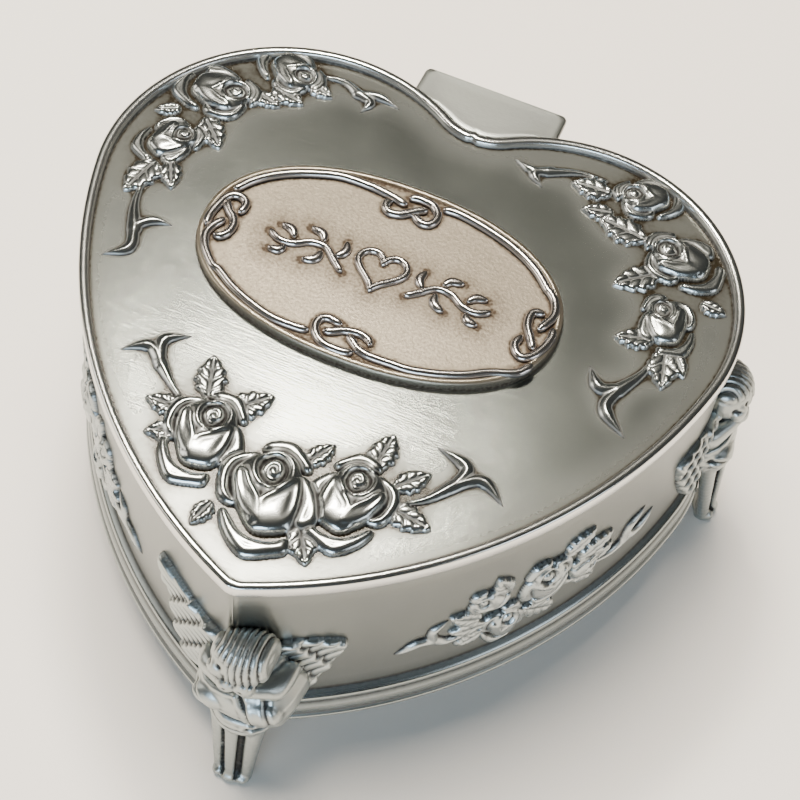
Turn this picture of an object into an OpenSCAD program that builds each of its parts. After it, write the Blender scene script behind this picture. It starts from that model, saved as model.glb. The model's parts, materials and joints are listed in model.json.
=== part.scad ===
// Heart-shaped cast pewter music box on three cherub feet, with a hinged lid
// and a wind-up comb movement under its tray.
// X runs across the lobes, the tip points to -Y, the hinge is at +Y and the feet stand on z = 0.

/* [Box] */
// Width of the lid across the two lobes
lid_w = 100; // [80:1:125]
// Length of the lid from the tip to the back of the lobes
lid_l = 95.2; // [76:0.2:120]
// Height of the lid's raised rim above the table
rim_z = 48; // [44:0.5:62]
// Height of the lid's edge band
lid_edge = 2.4; // [2:0.1:4]
// Width of the bright rim round the lid
rim_w = 1.5; // [1:0.1:3]
// Depth of the lid's field below its rim
field_drop = 1; // [0.5:0.1:1.4]
// Thickness of the cast wall
wall_t = 2; // [1.4:0.1:3]
// How far the wall stands in from the lid's edge
wall_inset = 1.4; // [0.8:0.1:2]
// Height of the base moulding's underside above the table
foot_h = 9.8; // [8:0.1:13]
// Height of the base moulding
mould_h = 5.8; // [4:0.1:8]

/* [Plaque] */
// Length of the oval plaque
plaque_l = 55; // [40:0.5:66]
// Width of the oval plaque
plaque_w = 33; // [24:0.5:40]
// Thickness of the plaque without its border
plaque_t = 1.6; // [1:0.1:3]
// Sideways place of the plaque on the lid
plaque_x = -2.6; // [-6:0.1:6]
// Lengthways place of the plaque on the lid
plaque_y = 10; // [0:0.5:16]

/* [Hinge] */
// Radius of the hinge knuckles
knuckle_r = 2.1; // [1.6:0.1:2.6]
// Radius of the hinge pin
pin_r = 0.9; // [0.6:0.05:1.3]
// Width of the hinge leaf at its back edge
leaf_w = 23.4; // [16:0.2:30]

/* [Movement] */
// Number of comb teeth
comb_teeth = 18; // [12:1:30]
// Radius of the pinned cylinder
drum_r = 6.2; // [5:0.1:6.2]
// Radius of the spring housing
housing_r = 10.8; // [8:0.1:10.8]
// Width of the winding key
key_w = 18; // [12:0.5:24]
// Downward travel of the stop rod
stop_travel = 2.4; // [1:0.1:2.4]

/* [Hidden] */
$fn = 48;
tiny = 0.05;
seam_gap = 0.1;
lobe_r = 0.2933 * lid_w;
lobe_x = lid_w / 2 - lobe_r;
lobe_y = lid_l / 2 - lobe_r;
tip_y = -lid_l / 2;
notch_r = 0.0866 * lid_w;
flank_r = 0.8304 * lid_w;
notch_y = lobe_y + sqrt(pow(lobe_r + notch_r, 2) - lobe_x * lobe_x);
wall_top = rim_z - lid_edge - seam_gap;
lid_z = rim_z - lid_edge;
field_z = rim_z - field_drop;
tray_z = foot_h + 22.2;
tray_off = -(wall_inset + wall_t + 0.4);
bottom_z = foot_h + 1.4;
bed_z = bottom_z + 1.2;
bed_top = bed_z + 1.6;
axle_z = bed_top + 8.4;
hinge_y = lid_l / 2 + 0.9;
hinge_z = lid_z - 1.4;
house_x = -15.5;
house_y = 18;
crown_n = 44;
crown_r = 12.6;
pinion_n = 11;
pinion_r = crown_r * pinion_n / crown_n;
crown_z = axle_z - pinion_r - 0.1;
wheel_n = 30;
fan_pinion_n = 10;
gov_y = house_y + 10.1;
gov_x = 32.2;
worm_wheel_n = 20;
worm_y = gov_y + 5.55;
worm_lead = 2 * PI * 8 / worm_wheel_n;
stop_x = 24;
stop_y = worm_y - 0.15;
boss_a = 12;
foot_a = 12;
boss_d = lobe_r - wall_inset - wall_t - 2.3;

// ---- outlines ----
function arc(cx, cy, r, a0, a1, n) =
    [for (i = [0:n]) let (a = a0 + (a1 - a0) * i / n) [cx + r * cos(a), cy + r * sin(a)]];

// centre of the big arc that runs from the tip up the right flank
flank_d = sqrt(lobe_x * lobe_x + pow(lobe_y - tip_y, 2));
flank_s = (flank_d * flank_d + flank_r * flank_r - pow(flank_r - lobe_r, 2)) / (2 * flank_d);
flank_h = sqrt(flank_r * flank_r - flank_s * flank_s);
flank_cx = (flank_s * lobe_x - flank_h * (lobe_y - tip_y)) / flank_d;
flank_cy = tip_y + (flank_s * (lobe_y - tip_y) + flank_h * lobe_x) / flank_d;
flank_a = atan2(lobe_y - flank_cy, lobe_x - flank_cx);
notch_a = atan2(notch_y - lobe_y, -lobe_x);

function tip_at(off) = flank_cy - sqrt(pow(flank_r + off, 2) - flank_cx * flank_cx);
function half_heart(off) = concat(
    arc(flank_cx, flank_cy, flank_r + off, atan2(tip_at(off) - flank_cy, -flank_cx), flank_a, 22),
    arc(lobe_x, lobe_y, lobe_r + off, flank_a + 4, notch_a - 3, 44),
    arc(0, notch_y, notch_r - off, notch_a - 180, -90, 10));
function mirrored(pts) = [for (i = [len(pts) - 2:-1:1]) [-pts[i][0], pts[i][1]]];
function heart_points(off) = concat(half_heart(off), mirrored(half_heart(off)));
function oval_points(a, b) = [for (i = [0:71]) [a * cos(i * 5), b * sin(i * 5)]];
function leaf_points(l, w) = concat(
    [for (i = [0:8]) [l * i / 8, w / 2 * sin(i * 22.5)]],
    [for (i = [7:-1:1]) [l * i / 8, -w / 2 * sin(i * 22.5)]]);
function toothed(n, r_root, r_tip, w_root, w_tip, phase) = [for (i = [0:n - 1], k = [0:3])
    let (a = phase + i * 360 / n, r = (k == 0 || k == 3) ? r_root : r_tip,
        w = (k == 0) ? -w_root / 2 : (k == 1) ? -w_tip / 2 : (k == 2) ? w_tip / 2 : w_root / 2)
    [r * cos(a) - w * sin(a), r * sin(a) + w * cos(a)]];

module heart(off) {
    polygon(heart_points(off));
}

module heart_slab(off, z0, z1) {
    translate([0, 0, z0])
        linear_extrude(z1 - z0)
            heart(off);
}

module along_x(x0, x1, y, z, r) {
    translate([x0, y, z])
        rotate([0, 90, 0])
            cylinder(h = x1 - x0, r = r);
}

// a flat toothed wheel whose axis lies along X; angle 0 of its teeth points to +Y
module x_gear(x0, t, y, z, pts) {
    translate([x0, y, z])
        rotate([90, 0, 90])
            linear_extrude(t)
                polygon(pts);
}

// ---- body ----
module box_wall() {
    color([0.62, 0.62, 0.6])
        union() {
            difference() {
                heart_slab(-wall_inset, foot_h + 0.4, wall_top);
                heart_slab(-wall_inset - wall_t, foot_h, wall_top + 1);
            }
            boss(0, tip_at(-wall_inset - wall_t) + 2.9);
            boss(lobe_x + boss_d * cos(boss_a), lobe_y + boss_d * sin(boss_a));
            boss(-lobe_x - boss_d * cos(boss_a), lobe_y + boss_d * sin(boss_a));
        }
}

module boss(x, y) {
    translate([x, y, bed_z])
        difference() {
            cylinder(h = tray_z - bed_z, r = 2.8);
            translate([0, 0, -1])
                cylinder(h = 7, r = 1.2);
        }
}

module base_moulding() {
    color([0.6, 0.6, 0.58])
        union() {
            moulding_step(0.9, 0, 0.34);
            moulding_step(0.55, 0.34, 0.46);
            moulding_step(0.75, 0.46, 0.72);
            moulding_step(0.35, 0.72, 1);
        }
}

// one ring of the moulding, standing out from the wall, from height share a to share b
module moulding_step(out, a, b) {
    translate([0, 0, foot_h + a * mould_h])
        linear_extrude((b - a) * mould_h)
            difference() {
                heart(out - wall_inset);
                heart(-wall_inset);
            }
}

// ---- cherub foot, drawn against a wall at y = 0 and facing -Y ----
module cherub() {
    union() {
        translate([0, -1.45, 34.6])
            rotate([0, 0, 90])
                sphere(r = 3.9);
        translate([0, -0.95, 26.7])
            rotate([0, 0, 90])
                sphere(r = 4.5);
        translate([0, -1.9, 20.1])
            rotate([0, 0, 90])
                sphere(r = 3.5);
        translate([-2.4, -3, 23.4])
            rotate([0, 50, 0])
                cylinder(h = 5.4, r = 1.1, center = true);
        translate([2.4, -3, 23.4])
            rotate([0, -50, 0])
                cylinder(h = 5.4, r = 1.1, center = true);
        translate([0, -2, 9])
            cylinder(h = 11, r1 = 1.7, r2 = 3.2);
        translate([0, -2, 1.2])
            cylinder(h = 8, r1 = 1.5, r2 = 1.9);
        translate([0, -2, 0])
            cylinder(h = 1.6, r = 2);
        translate([0, -2.6, 14])
            rotate([0, 0, 90])
                sphere(r = 2.6);
        cherub_wing();
        mirror([1, 0, 0])
            cherub_wing();
    }
}

module cherub_wing() {
    for (i = [0:2])
        translate([2, -1.4 + i * 0.5, 27 - i * 1.4])
            rotate([90, 0, 0])
                linear_extrude(0.9)
                    polygon([[0, 5], [6 + i * 2.4, 6.4 - i * 0.7], [5.4 + i * 2, 1 - i * 1.2],
                        [3 + i * 1.2, -3 - i * 1.2], [0, -4]]);
}

module cherub_foot_front() {
    color([0.58, 0.58, 0.56])
        difference() {
            translate([0, tip_y + 0.7, 0])
                cherub();
            heart_slab(-wall_inset, foot_h + 0.4, rim_z);
            heart_slab(0.95 - wall_inset, foot_h - tiny, foot_h + mould_h);
        }
}

module lobe_foot() {
    difference() {
        translate([lobe_x + (lobe_r - 1.2) * cos(foot_a), lobe_y + (lobe_r - 1.2) * sin(foot_a), 0])
            rotate([0, 0, 90 + foot_a])
                cherub();
        heart_slab(-wall_inset, foot_h + 0.4, rim_z);
        heart_slab(0.95 - wall_inset, foot_h - tiny, foot_h + mould_h);
    }
}

module cherub_foot_right() {
    color([0.58, 0.58, 0.56])
        lobe_foot();
}

module cherub_foot_left() {
    color([0.58, 0.58, 0.56])
        mirror([1, 0, 0])
            lobe_foot();
}

// ---- roses and leaves ----
module rose(r, t) {
    union() {
        cylinder(h = t * 0.5, r = r);
        cylinder(h = t * 0.8, r = r * 0.68);
        cylinder(h = t, r = r * 0.36);
    }
}

module leaf(l, t) {
    linear_extrude(t)
        polygon(leaf_points(l, l * 0.52));
}

module tendril(l, bend, t) {
    linear_extrude(t)
        polygon(concat(
            [for (i = [0:8]) [l * i / 8, bend * sin(i * 22.5) + 0.7 * (1 - i / 9)]],
            [for (i = [8:-1:0]) [l * i / 8, bend * sin(i * 22.5) - 0.7 * (1 - i / 9)]]));
}

module placed(x, y, a) {
    translate([x, y, 0])
        rotate([0, 0, a])
            children();
}

module rose_spray_front() {
    color([0.5, 0.5, 0.49])
        translate([0, 0, field_z]) {
            placed(-13.6, -24, 0) rose(6.6, 2.2);
            placed(-1.8, -31, 0) rose(7.6, 2.4);
            placed(9.6, -27.4, 0) rose(6.4, 2.2);
            placed(-18, -21, 150) leaf(7, 1.1);
            placed(-15.5, -18.5, 95) leaf(6.4, 1.1);
            placed(-9.5, -20, 60) leaf(6.4, 1.1);
            placed(2, -23.5, 78) leaf(6, 1.1);
            placed(10.5, -21.5, 70) leaf(7, 1.1);
            placed(15, -25, 20) leaf(6.5, 1.1);
            placed(14.5, -30, -25) leaf(6, 1.1);
            placed(5, -36.5, -60) leaf(5, 1.1);
            placed(-9.5, -31, 200) leaf(6, 1.1);
            placed(-17, -16.5, 125) tendril(9.5, 1.2, 1);
            placed(-24.4, -15.4, 170) tendril(6, 0.8, 1);
            placed(-25, -15.5, 80) tendril(5, -0.8, 1);
            placed(15, -23.5, 35) tendril(10, 1.2, 1);
            placed(21, -17.5, 120) tendril(5, -0.8, 1);
            placed(21.5, -17.5, -10) tendril(6.5, 0.8, 1);
        }
}

module lobe_spray() {
    translate([0, 0, field_z]) {
        placed(28.3, 40.1, 0) rose(4.4, 1.9);
        placed(36.8, 33, 0) rose(5.6, 2.1);
        placed(39.4, 22.4, 0) rose(5.4, 2);
        placed(24.5, 40.5, 195) leaf(6, 1);
        placed(24, 37.4, 215) leaf(5, 1);
        placed(31, 34.5, 215) leaf(5.5, 1);
        placed(34, 26, 205) leaf(5.5, 1);
        placed(35.5, 18, 225) leaf(5.5, 1);
        placed(41, 17, 270) leaf(6, 1);
        placed(42, 27.4, 15) leaf(3.4, 1);
        placed(33.6, 38, 35) leaf(3.4, 1);
        placed(21, 42.4, 190) tendril(7, 1, 0.9);
        placed(14.4, 40.8, 165) tendril(5, -0.6, 0.9);
        placed(14.4, 40.6, 250) tendril(4, 0.6, 0.9);
        placed(39, 12.6, 250) tendril(7, -1, 0.9);
        placed(36.4, 6.4, 180) tendril(4.6, -0.6, 0.9);
        placed(36.6, 6.4, 290) tendril(5.6, 0.6, 0.9);
    }
}

module rose_spray_right() {
    color([0.5, 0.5, 0.49])
        lobe_spray();
}

module rose_spray_left() {
    color([0.5, 0.5, 0.49])
        mirror([1, 0, 0])
            lobe_spray();
}

// sprays on the walls: placed by the angle of the flank's big arc
module flank_spray() {
    z_mid = foot_h + mould_h + (wall_top - foot_h - mould_h) * 0.46;
    a_mid = (flank_a + atan2(tip_y - flank_cy, -flank_cx)) / 2 + 2;
    for (i = [-2:2]) {
        s = 1 - abs(i) * 0.2;
        on_flank(a_mid + i * 4.6, z_mid + i * 0.6)
            rose(4 * s, 1.8);
        on_flank(a_mid + i * 4.6 + 2.3, z_mid + 5 * s)
            rotate([0, 0, 150])
                leaf(5 * s, 0.8);
        on_flank(a_mid + i * 4.6 - 2.3, z_mid - 5 * s)
            rotate([0, 0, -30])
                leaf(5 * s, 0.8);
    }
}

// stands a piece on the flank's outer face, its own Z pointing out of the wall
module on_flank(a, z) {
    r = flank_r - wall_inset + 0.03;
    translate([flank_cx + r * cos(a), flank_cy + r * sin(a), z])
        rotate([0, 90, a])
            children();
}

module side_spray_right() {
    color([0.5, 0.5, 0.49])
        flank_spray();
}

module side_spray_left() {
    color([0.5, 0.5, 0.49])
        mirror([1, 0, 0])
            flank_spray();
}

// ---- hinge ----
module hinge_bracket() {
    color([0.6, 0.6, 0.58])
        difference() {
            union() {
                translate([-10.8, notch_y - notch_r - 3, hinge_z - knuckle_r])
                    cube([21.6, hinge_y - notch_y + notch_r + 3, knuckle_r * 2 - 0.9]);
                along_x(-10.8, 10.8, hinge_y, hinge_z, knuckle_r);
            }
            heart_slab(-wall_inset, 0, rim_z + 5);
            knuckle_gap(-6.9);
            knuckle_gap(2.7);
            along_x(-12, 12, hinge_y, hinge_z, pin_r);
        }
}

// room for one of the lid's knuckles, from x0
module knuckle_gap(x0) {
    translate([x0 - 0.2, hinge_y - knuckle_r - 1.6, hinge_z - 6])
        cube([4.6, 12, 12]);
}

module hinge_pin() {
    color([0.72, 0.72, 0.7])
        along_x(-11.2, 11.2, hinge_y, hinge_z, pin_r);
}

module hinge_leaf() {
    leaf_z = hinge_z + knuckle_r + 0.2;
    color([0.66, 0.66, 0.64])
        difference() {
            union() {
                translate([0, 0, leaf_z])
                    linear_extrude(rim_z - 0.5 - leaf_z)
                        difference() {
                            polygon([[-leaf_w / 2, hinge_y + knuckle_r + 0.4], [-leaf_w / 2 - 0.5, lobe_y + 28],
                                [-11, notch_y - notch_r - 2], [11, notch_y - notch_r - 2],
                                [leaf_w / 2 + 0.5, lobe_y + 28],
                                [leaf_w / 2, hinge_y + knuckle_r + 0.4]]);
                            heart(0);
                        }
                lid_knuckle(-6.9);
                lid_knuckle(2.7);
            }
            along_x(-12, 12, hinge_y, hinge_z, pin_r + 0.05);
        }
}

module lid_knuckle(x0) {
    along_x(x0, x0 + 4.2, hinge_y, hinge_z, knuckle_r);
    translate([x0, hinge_y - knuckle_r + 0.4, hinge_z])
        cube([4.2, knuckle_r * 2 - 0.4, knuckle_r + 0.6]);
}

// ---- tray and bottom ----
module tray() {
    color([0.25, 0.22, 0.22])
        difference() {
            heart_slab(tray_off, tray_z, wall_top - 3.6);
            heart_slab(tray_off - 0.9, tray_z + 1.2, wall_top);
            translate([stop_x, stop_y, tray_z - 1])
                cylinder(h = 4, r = 1.08);
        }
}

module tray_lining() {
    color([0.08, 0.09, 0.2])
        difference() {
            heart_slab(tray_off - 0.95, tray_z + 1.25, wall_top - 4);
            heart_slab(tray_off - 1.75, tray_z + 2.1, wall_top);
            translate([stop_x, stop_y, tray_z])
                cylinder(h = 4, r = 1.5);
        }
}

module bottom_plate() {
    color([0.55, 0.55, 0.54])
        difference() {
            heart_slab(-wall_inset - wall_t - 0.2, bottom_z, bed_z);
            translate([house_x, house_y, bottom_z - 1])
                cylinder(h = 3, r = 3);
            for (p = screw_places())
                translate([p[0], p[1], bottom_z - 1])
                    cylinder(h = 3, r = 1.3);
        }
}

function screw_places() = [[0, tip_at(-wall_inset - wall_t) + 2.9],
    [lobe_x + boss_d * cos(boss_a), lobe_y + boss_d * sin(boss_a)],
    [-lobe_x - boss_d * cos(boss_a), lobe_y + boss_d * sin(boss_a)]];

module bottom_screws() {
    color([0.7, 0.7, 0.68])
        for (p = screw_places())
            translate([p[0], p[1], 0])
                difference() {
                    union() {
                        translate([0, 0, bottom_z - 0.9])
                            cylinder(h = 0.9, r = 2.1);
                        translate([0, 0, bottom_z - 0.1])
                            cylinder(h = 6, r = 1.15);
                    }
                    translate([-3, -0.25, bottom_z - 1])
                        cube([6, 0.5, 0.5]);
                }
}

// ---- movement frame ----
module bedplate() {
    color([0.66, 0.62, 0.5])
        difference() {
            union() {
                translate([-33, -8, bed_z])
                    cube([69.6, 43.5, bed_top - bed_z]);
                translate([1, -7, bed_z])
                    cube([23, 5.8, axle_z - 0.45 - bed_z]);
            }
            translate([house_x, house_y, bed_z - 1])
                cylinder(h = 4, r = 1.65);
            for (x = [6, 19])
                translate([x, -4, bed_top])
                    cylinder(h = 12, r = 1);
        }
}

module left_bearing() {
    color([0.7, 0.66, 0.5])
        difference() {
            translate([-1.2, house_y - 4, bed_top])
                cube([1, 8, axle_z + 3 - bed_top]);
            along_x(-3, 2, house_y, axle_z, 0.85);
        }
}

module right_bearing() {
    color([0.7, 0.66, 0.5])
        difference() {
            translate([25.2, house_y - 4, bed_top])
                cube([1, 17, axle_z + 3 - bed_top]);
            along_x(24, 28, house_y, axle_z, 0.85);
            along_x(24, 28, gov_y, axle_z, 0.65);
        }
}

module spring_housing() {
    color([0.72, 0.7, 0.66])
        translate([house_x, house_y, 0])
            difference() {
                union() {
                    translate([0, 0, crown_z + 1.1])
                        cylinder(h = 9.4, r = housing_r);
                    for (a = [90, 180, 270])
                        rotate([0, 0, a]) {
                            translate([0, -2, crown_z + 1.1])
                                cube([15.7, 4, 1.2]);
                            translate([15.7, 0, bed_top])
                                cylinder(h = crown_z + 2.3 - bed_top, r = 1.8);
                        }
                }
                translate([0, 0, crown_z + 2.1])
                    cylinder(h = 7.4, r = housing_r - 0.8);
                translate([0, 0, crown_z])
                    cylinder(h = 12, r = 1.7);
            }
}

module comb() {
    pitch = 22.4 / comb_teeth;
    color([0.78, 0.78, 0.76])
        difference() {
            translate([1.3, -7, axle_z - 0.4])
                cube([22.4, 17.9, 0.8]);
            for (i = [1:comb_teeth - 1])
                translate([1.3 + i * pitch - 0.15, -0.8, axle_z - 1])
                    cube([0.3, 14, 2]);
            for (x = [6, 19])
                translate([x, -4, axle_z - 1])
                    cylinder(h = 2, r = 1.2);
        }
}

module comb_screws() {
    color([0.72, 0.7, 0.6])
        for (x = [6, 19])
            translate([x, -4, axle_z + 0.4])
                difference() {
                    union() {
                        cylinder(h = 1.4, r = 2.2);
                        translate([0, 0, -5])
                            cylinder(h = 5.4, r = 1);
                    }
                    translate([-3, -0.3, 0.8])
                        cube([6, 0.6, 1]);
                }
}

module governor_bracket() {
    color([0.7, 0.66, 0.5])
        difference() {
            union() {
                translate([34.9, gov_y - 3, bed_top])
                    cube([1, 10.4, axle_z + 4.6 - bed_top]);
                translate([gov_x - 2, worm_y - 1.8, axle_z + 3.8])
                    cube([4.7, 3.6, 0.8]);
                translate([gov_x - 2, worm_y - 1.8, bed_top])
                    cube([4, 3.6, 1.2]);
            }
            along_x(34, 38, gov_y, axle_z, 0.65);
            translate([gov_x, worm_y, bed_top + 0.4])
                cylinder(h = 30, r = 0.55);
        }
}

// ---- lid ----
module lid_shell() {
    color([0.64, 0.64, 0.62])
        difference() {
            heart_slab(0, lid_z, rim_z);
            heart_slab(-rim_w, field_z, rim_z + 1);
        }
}

// the ring under the lid that finds its place inside the wall
module lid_lip() {
    color([0.6, 0.6, 0.58])
        difference() {
            heart_slab(tray_off, lid_z - 3, lid_z);
            heart_slab(tray_off - 1.2, lid_z - 4, lid_z + 1);
        }
}

module lid_lining() {
    color([0.08, 0.09, 0.2])
        heart_slab(tray_off - 1.3, lid_z - 0.8, lid_z);
}

module lid_plaque() {
    color([0.4, 0.36, 0.3])
        translate([plaque_x, plaque_y, field_z])
            linear_extrude(plaque_t)
                polygon(oval_points(plaque_l / 2, plaque_w / 2));
}

module plaque_border() {
    color([0.6, 0.57, 0.52])
        translate([plaque_x, plaque_y, field_z + plaque_t])
            union() {
                linear_extrude(0.9)
                    difference() {
                        polygon(oval_points(plaque_l / 2 - 1, plaque_w / 2 - 1));
                        polygon(oval_points(plaque_l / 2 - 2.2, plaque_w / 2 - 2.2));
                    }
                for (s = [-1, 1]) {
                    placed(s * (plaque_l / 2 - 3.4), 0, 90) knot();
                    placed(0, s * (plaque_w / 2 - 3.2), 0) knot();
                }
            }
}

// a small figure-eight knot of two rings
module knot() {
    for (s = [-1, 1])
        translate([s * 2, 0, 0])
            linear_extrude(0.8)
                difference() {
                    polygon(oval_points(2.6, 1.6));
                    polygon(oval_points(1.8, 0.8));
                }
}

module plaque_ornament() {
    color([0.6, 0.57, 0.52])
        translate([plaque_x, plaque_y, field_z + plaque_t]) {
            translate([0, -0.4, 0])
                linear_extrude(0.7)
                    difference() {
                        small_heart(0.085);
                        small_heart(0.058);
                    }
            for (s = [0, 1])
                mirror([s, 0, 0])
                    scroll();
        }
}

module small_heart(k) {
    polygon([for (p = heart_points(0)) [p[0] * k, p[1] * k]]);
}

module scroll() {
    for (k = [0:1])
        translate([8.6 + k * 5.4, k * 0.4, 0])
            linear_extrude(0.7)
                polygon(concat(arc(0, 0, 2.9 - k * 0.5, -200 + k * 180, 60 + k * 180, 24),
                    arc(0, 0, 1.7 - k * 0.4, 60 + k * 180, -200 + k * 180, 24)));
}

// ---- winding train ----
module winding_key() {
    color([0.78, 0.76, 0.7])
        translate([house_x, house_y, 0])
            difference() {
                union() {
                    translate([0, 0, foot_h - 2])
                        cylinder(h = 2.8, r = 2.4);
                    rotate([90, 0, 0])
                        translate([0, 0, -0.7])
                            linear_extrude(1.4)
                                key_outline();
                }
                translate([0, 0, foot_h - 1])
                    cylinder(h = 4, r = 1.6);
            }
}

module key_outline() {
    difference() {
        union() {
            translate([-2.4, foot_h - 6])
                square([4.8, 5]);
            for (s = [-1, 1])
                translate([s * (key_w / 2 - 3.6), foot_h - 5])
                    circle(r = 3.6);
            translate([-key_w / 2 + 3.6, foot_h - 6.4])
                square([key_w - 7.2, 3]);
        }
        for (s = [-1, 1])
            translate([s * (key_w / 2 - 3.6), foot_h - 5])
                circle(r = 1.7);
    }
}

module winding_arbor() {
    color([0.75, 0.75, 0.74])
        translate([house_x, house_y, foot_h - 1])
            cylinder(h = crown_z + 12 - foot_h, r = 1.6);
}

module crown_wheel() {
    color([0.78, 0.68, 0.4])
        translate([house_x, house_y, 0])
            difference() {
                union() {
                    translate([0, 0, crown_z - 2.4])
                        cylinder(h = 1.7, r = crown_r + 1, $fn = 88);
                    for (i = [0:crown_n - 1])
                        rotate([0, 0, (i + 0.5) * 360 / crown_n])
                            translate([crown_r - 1, 0, crown_z - 0.75])
                                rotate([90, 0, 90])
                                    linear_extrude(2)
                                        polygon([[-0.5, -0.1], [0.5, -0.1], [0.22, 1.2], [-0.22, 1.2]]);
                }
                cylinder(h = 60, r = 1.6);
            }
}

module mainspring() {
    turns = 5;
    n = 120;
    r_in = 2.2;
    r_out = housing_r - 1.5;
    color([0.35, 0.4, 0.5])
        translate([house_x, house_y, crown_z + 2.6])
            linear_extrude(6.2)
                polygon(concat(
                    [for (i = [0:n]) let (a = 360 * turns * i / n, r = r_in + (r_out - r_in) * i / n)
                        [r * cos(a), r * sin(a)]],
                    [for (i = [n:-1:0]) let (a = 360 * turns * i / n, r = r_in - 0.45 + (r_out - r_in) * i / n)
                        [r * cos(a), r * sin(a)]]));
}

// ---- cylinder train ----
module pinned_cylinder() {
    color([0.82, 0.72, 0.42])
        difference() {
            union() {
                along_x(0.6, 24.2, house_y, axle_z, drum_r);
                for (i = [0:comb_teeth - 1], k = [0:3])
                    translate([1.3 + (i + 0.5) * 22.4 / comb_teeth, house_y, axle_z])
                        rotate([(i * 137 + k * 83 + (i * k % 5) * 17) % 360, 0, 0])
                            cylinder(h = drum_r + 0.7, r = 0.22, $fn = 8);
            }
            along_x(0, 25, house_y, axle_z, 0.8);
        }
}

module cylinder_arbor() {
    color([0.75, 0.75, 0.74])
        along_x(-4.1, 29.6, house_y, axle_z, 0.8);
}

module cylinder_pinion() {
    color([0.78, 0.68, 0.4])
        difference() {
            x_gear(house_x + crown_r - 1, 2, house_y, axle_z,
                toothed(pinion_n, pinion_r - 0.75, pinion_r + 0.5, 1, 0.44, -90));
            along_x(-6, 2, house_y, axle_z, 0.8);
        }
}

module cylinder_wheel() {
    color([0.78, 0.68, 0.4])
        difference() {
            x_gear(27.4, 1.5, house_y, axle_z, toothed(wheel_n, 6.9, 7.92, 0.84, 0.3, 6));
            along_x(26, 30, house_y, axle_z, 0.8);
        }
}

module governor_arbor() {
    color([0.75, 0.75, 0.74])
        along_x(25.3, 35.8, gov_y, axle_z, 0.6);
}

module governor_pinion() {
    color([0.78, 0.68, 0.4])
        difference() {
            x_gear(27.2, 1.9, gov_y, axle_z,
                toothed(fan_pinion_n, 1.9, 2.92, 0.84, 0.3, 180));
            along_x(26, 30, gov_y, axle_z, 0.6);
        }
}

module worm_wheel() {
    color([0.78, 0.68, 0.4])
        difference() {
            x_gear(gov_x - 0.45, 0.9, gov_y, axle_z,
                toothed(worm_wheel_n, 3.45, 4.35, 0.75, 0.28, 0));
            along_x(30, 35, gov_y, axle_z, 0.6);
        }
}

module worm() {
    color([0.74, 0.74, 0.72])
        translate([gov_x, worm_y, 0])
            union() {
                translate([0, 0, axle_z - worm_lead * 1.5])
                    linear_extrude(height = worm_lead * 3, twist = -1080, slices = 36, segments = 16)
                        polygon([for (i = [0:15]) let (r = 1.2 + 0.35 * cos(i * 45))
                            [r * cos(i * 22.5), r * sin(i * 22.5)]]);
                translate([0, 0, bed_top + 0.6])
                    cylinder(h = 16.4, r = 0.5);
            }
}

module air_fan() {
    color([0.78, 0.68, 0.4])
        translate([gov_x, worm_y, axle_z + 5.2])
            difference() {
                union() {
                    cylinder(h = 2.2, r = 1);
                    translate([-0.15, -4.4, 0])
                        cube([0.3, 8.8, 2.2]);
                }
                translate([0, 0, -1])
                    cylinder(h = 5, r = 0.5);
            }
}

// ---- stop ----
module stop_rod() {
    color([0.75, 0.75, 0.74])
        translate([stop_x, stop_y, 0])
            union() {
                translate([0, 0, bed_top + 2.5])
                    cylinder(h = lid_z - 1.2 - bed_top - 2.5, r = 1);
                translate([0, 0, bed_top + 12.2])
                    cylinder(h = 1, r = 2.2);
                translate([0, -0.4, axle_z + 7.7])
                    cube([5.4, 0.8, 0.7]);
            }
}

module stop_spring() {
    color([0.72, 0.72, 0.7])
        translate([stop_x, stop_y, bed_top + 0.05])
            linear_extrude(height = 12.1, twist = -1800, slices = 40, segments = 8)
                polygon(concat(arc(0, 0, 1.75, -40, 40, 3), arc(0, 0, 1.25, 40, -40, 3)));
}

box_wall();
base_moulding();
cherub_foot_front();
cherub_foot_left();
cherub_foot_right();
side_spray_left();
side_spray_right();
hinge_bracket();
hinge_pin();
tray();
tray_lining();
bottom_plate();
bottom_screws();
bedplate();
left_bearing();
right_bearing();
spring_housing();
comb();
comb_screws();
governor_bracket();
lid_shell();
lid_lip();
lid_lining();
rose_spray_front();
rose_spray_left();
rose_spray_right();
lid_plaque();
plaque_border();
plaque_ornament();
hinge_leaf();
winding_key();
winding_arbor();
crown_wheel();
mainspring();
pinned_cylinder();
cylinder_arbor();
cylinder_pinion();
cylinder_wheel();
governor_arbor();
governor_pinion();
worm_wheel();
worm();
air_fan();
stop_rod();
stop_spring();
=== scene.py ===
import bpy
import json
import math
import numpy as np
from mathutils import Matrix, Vector


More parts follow.
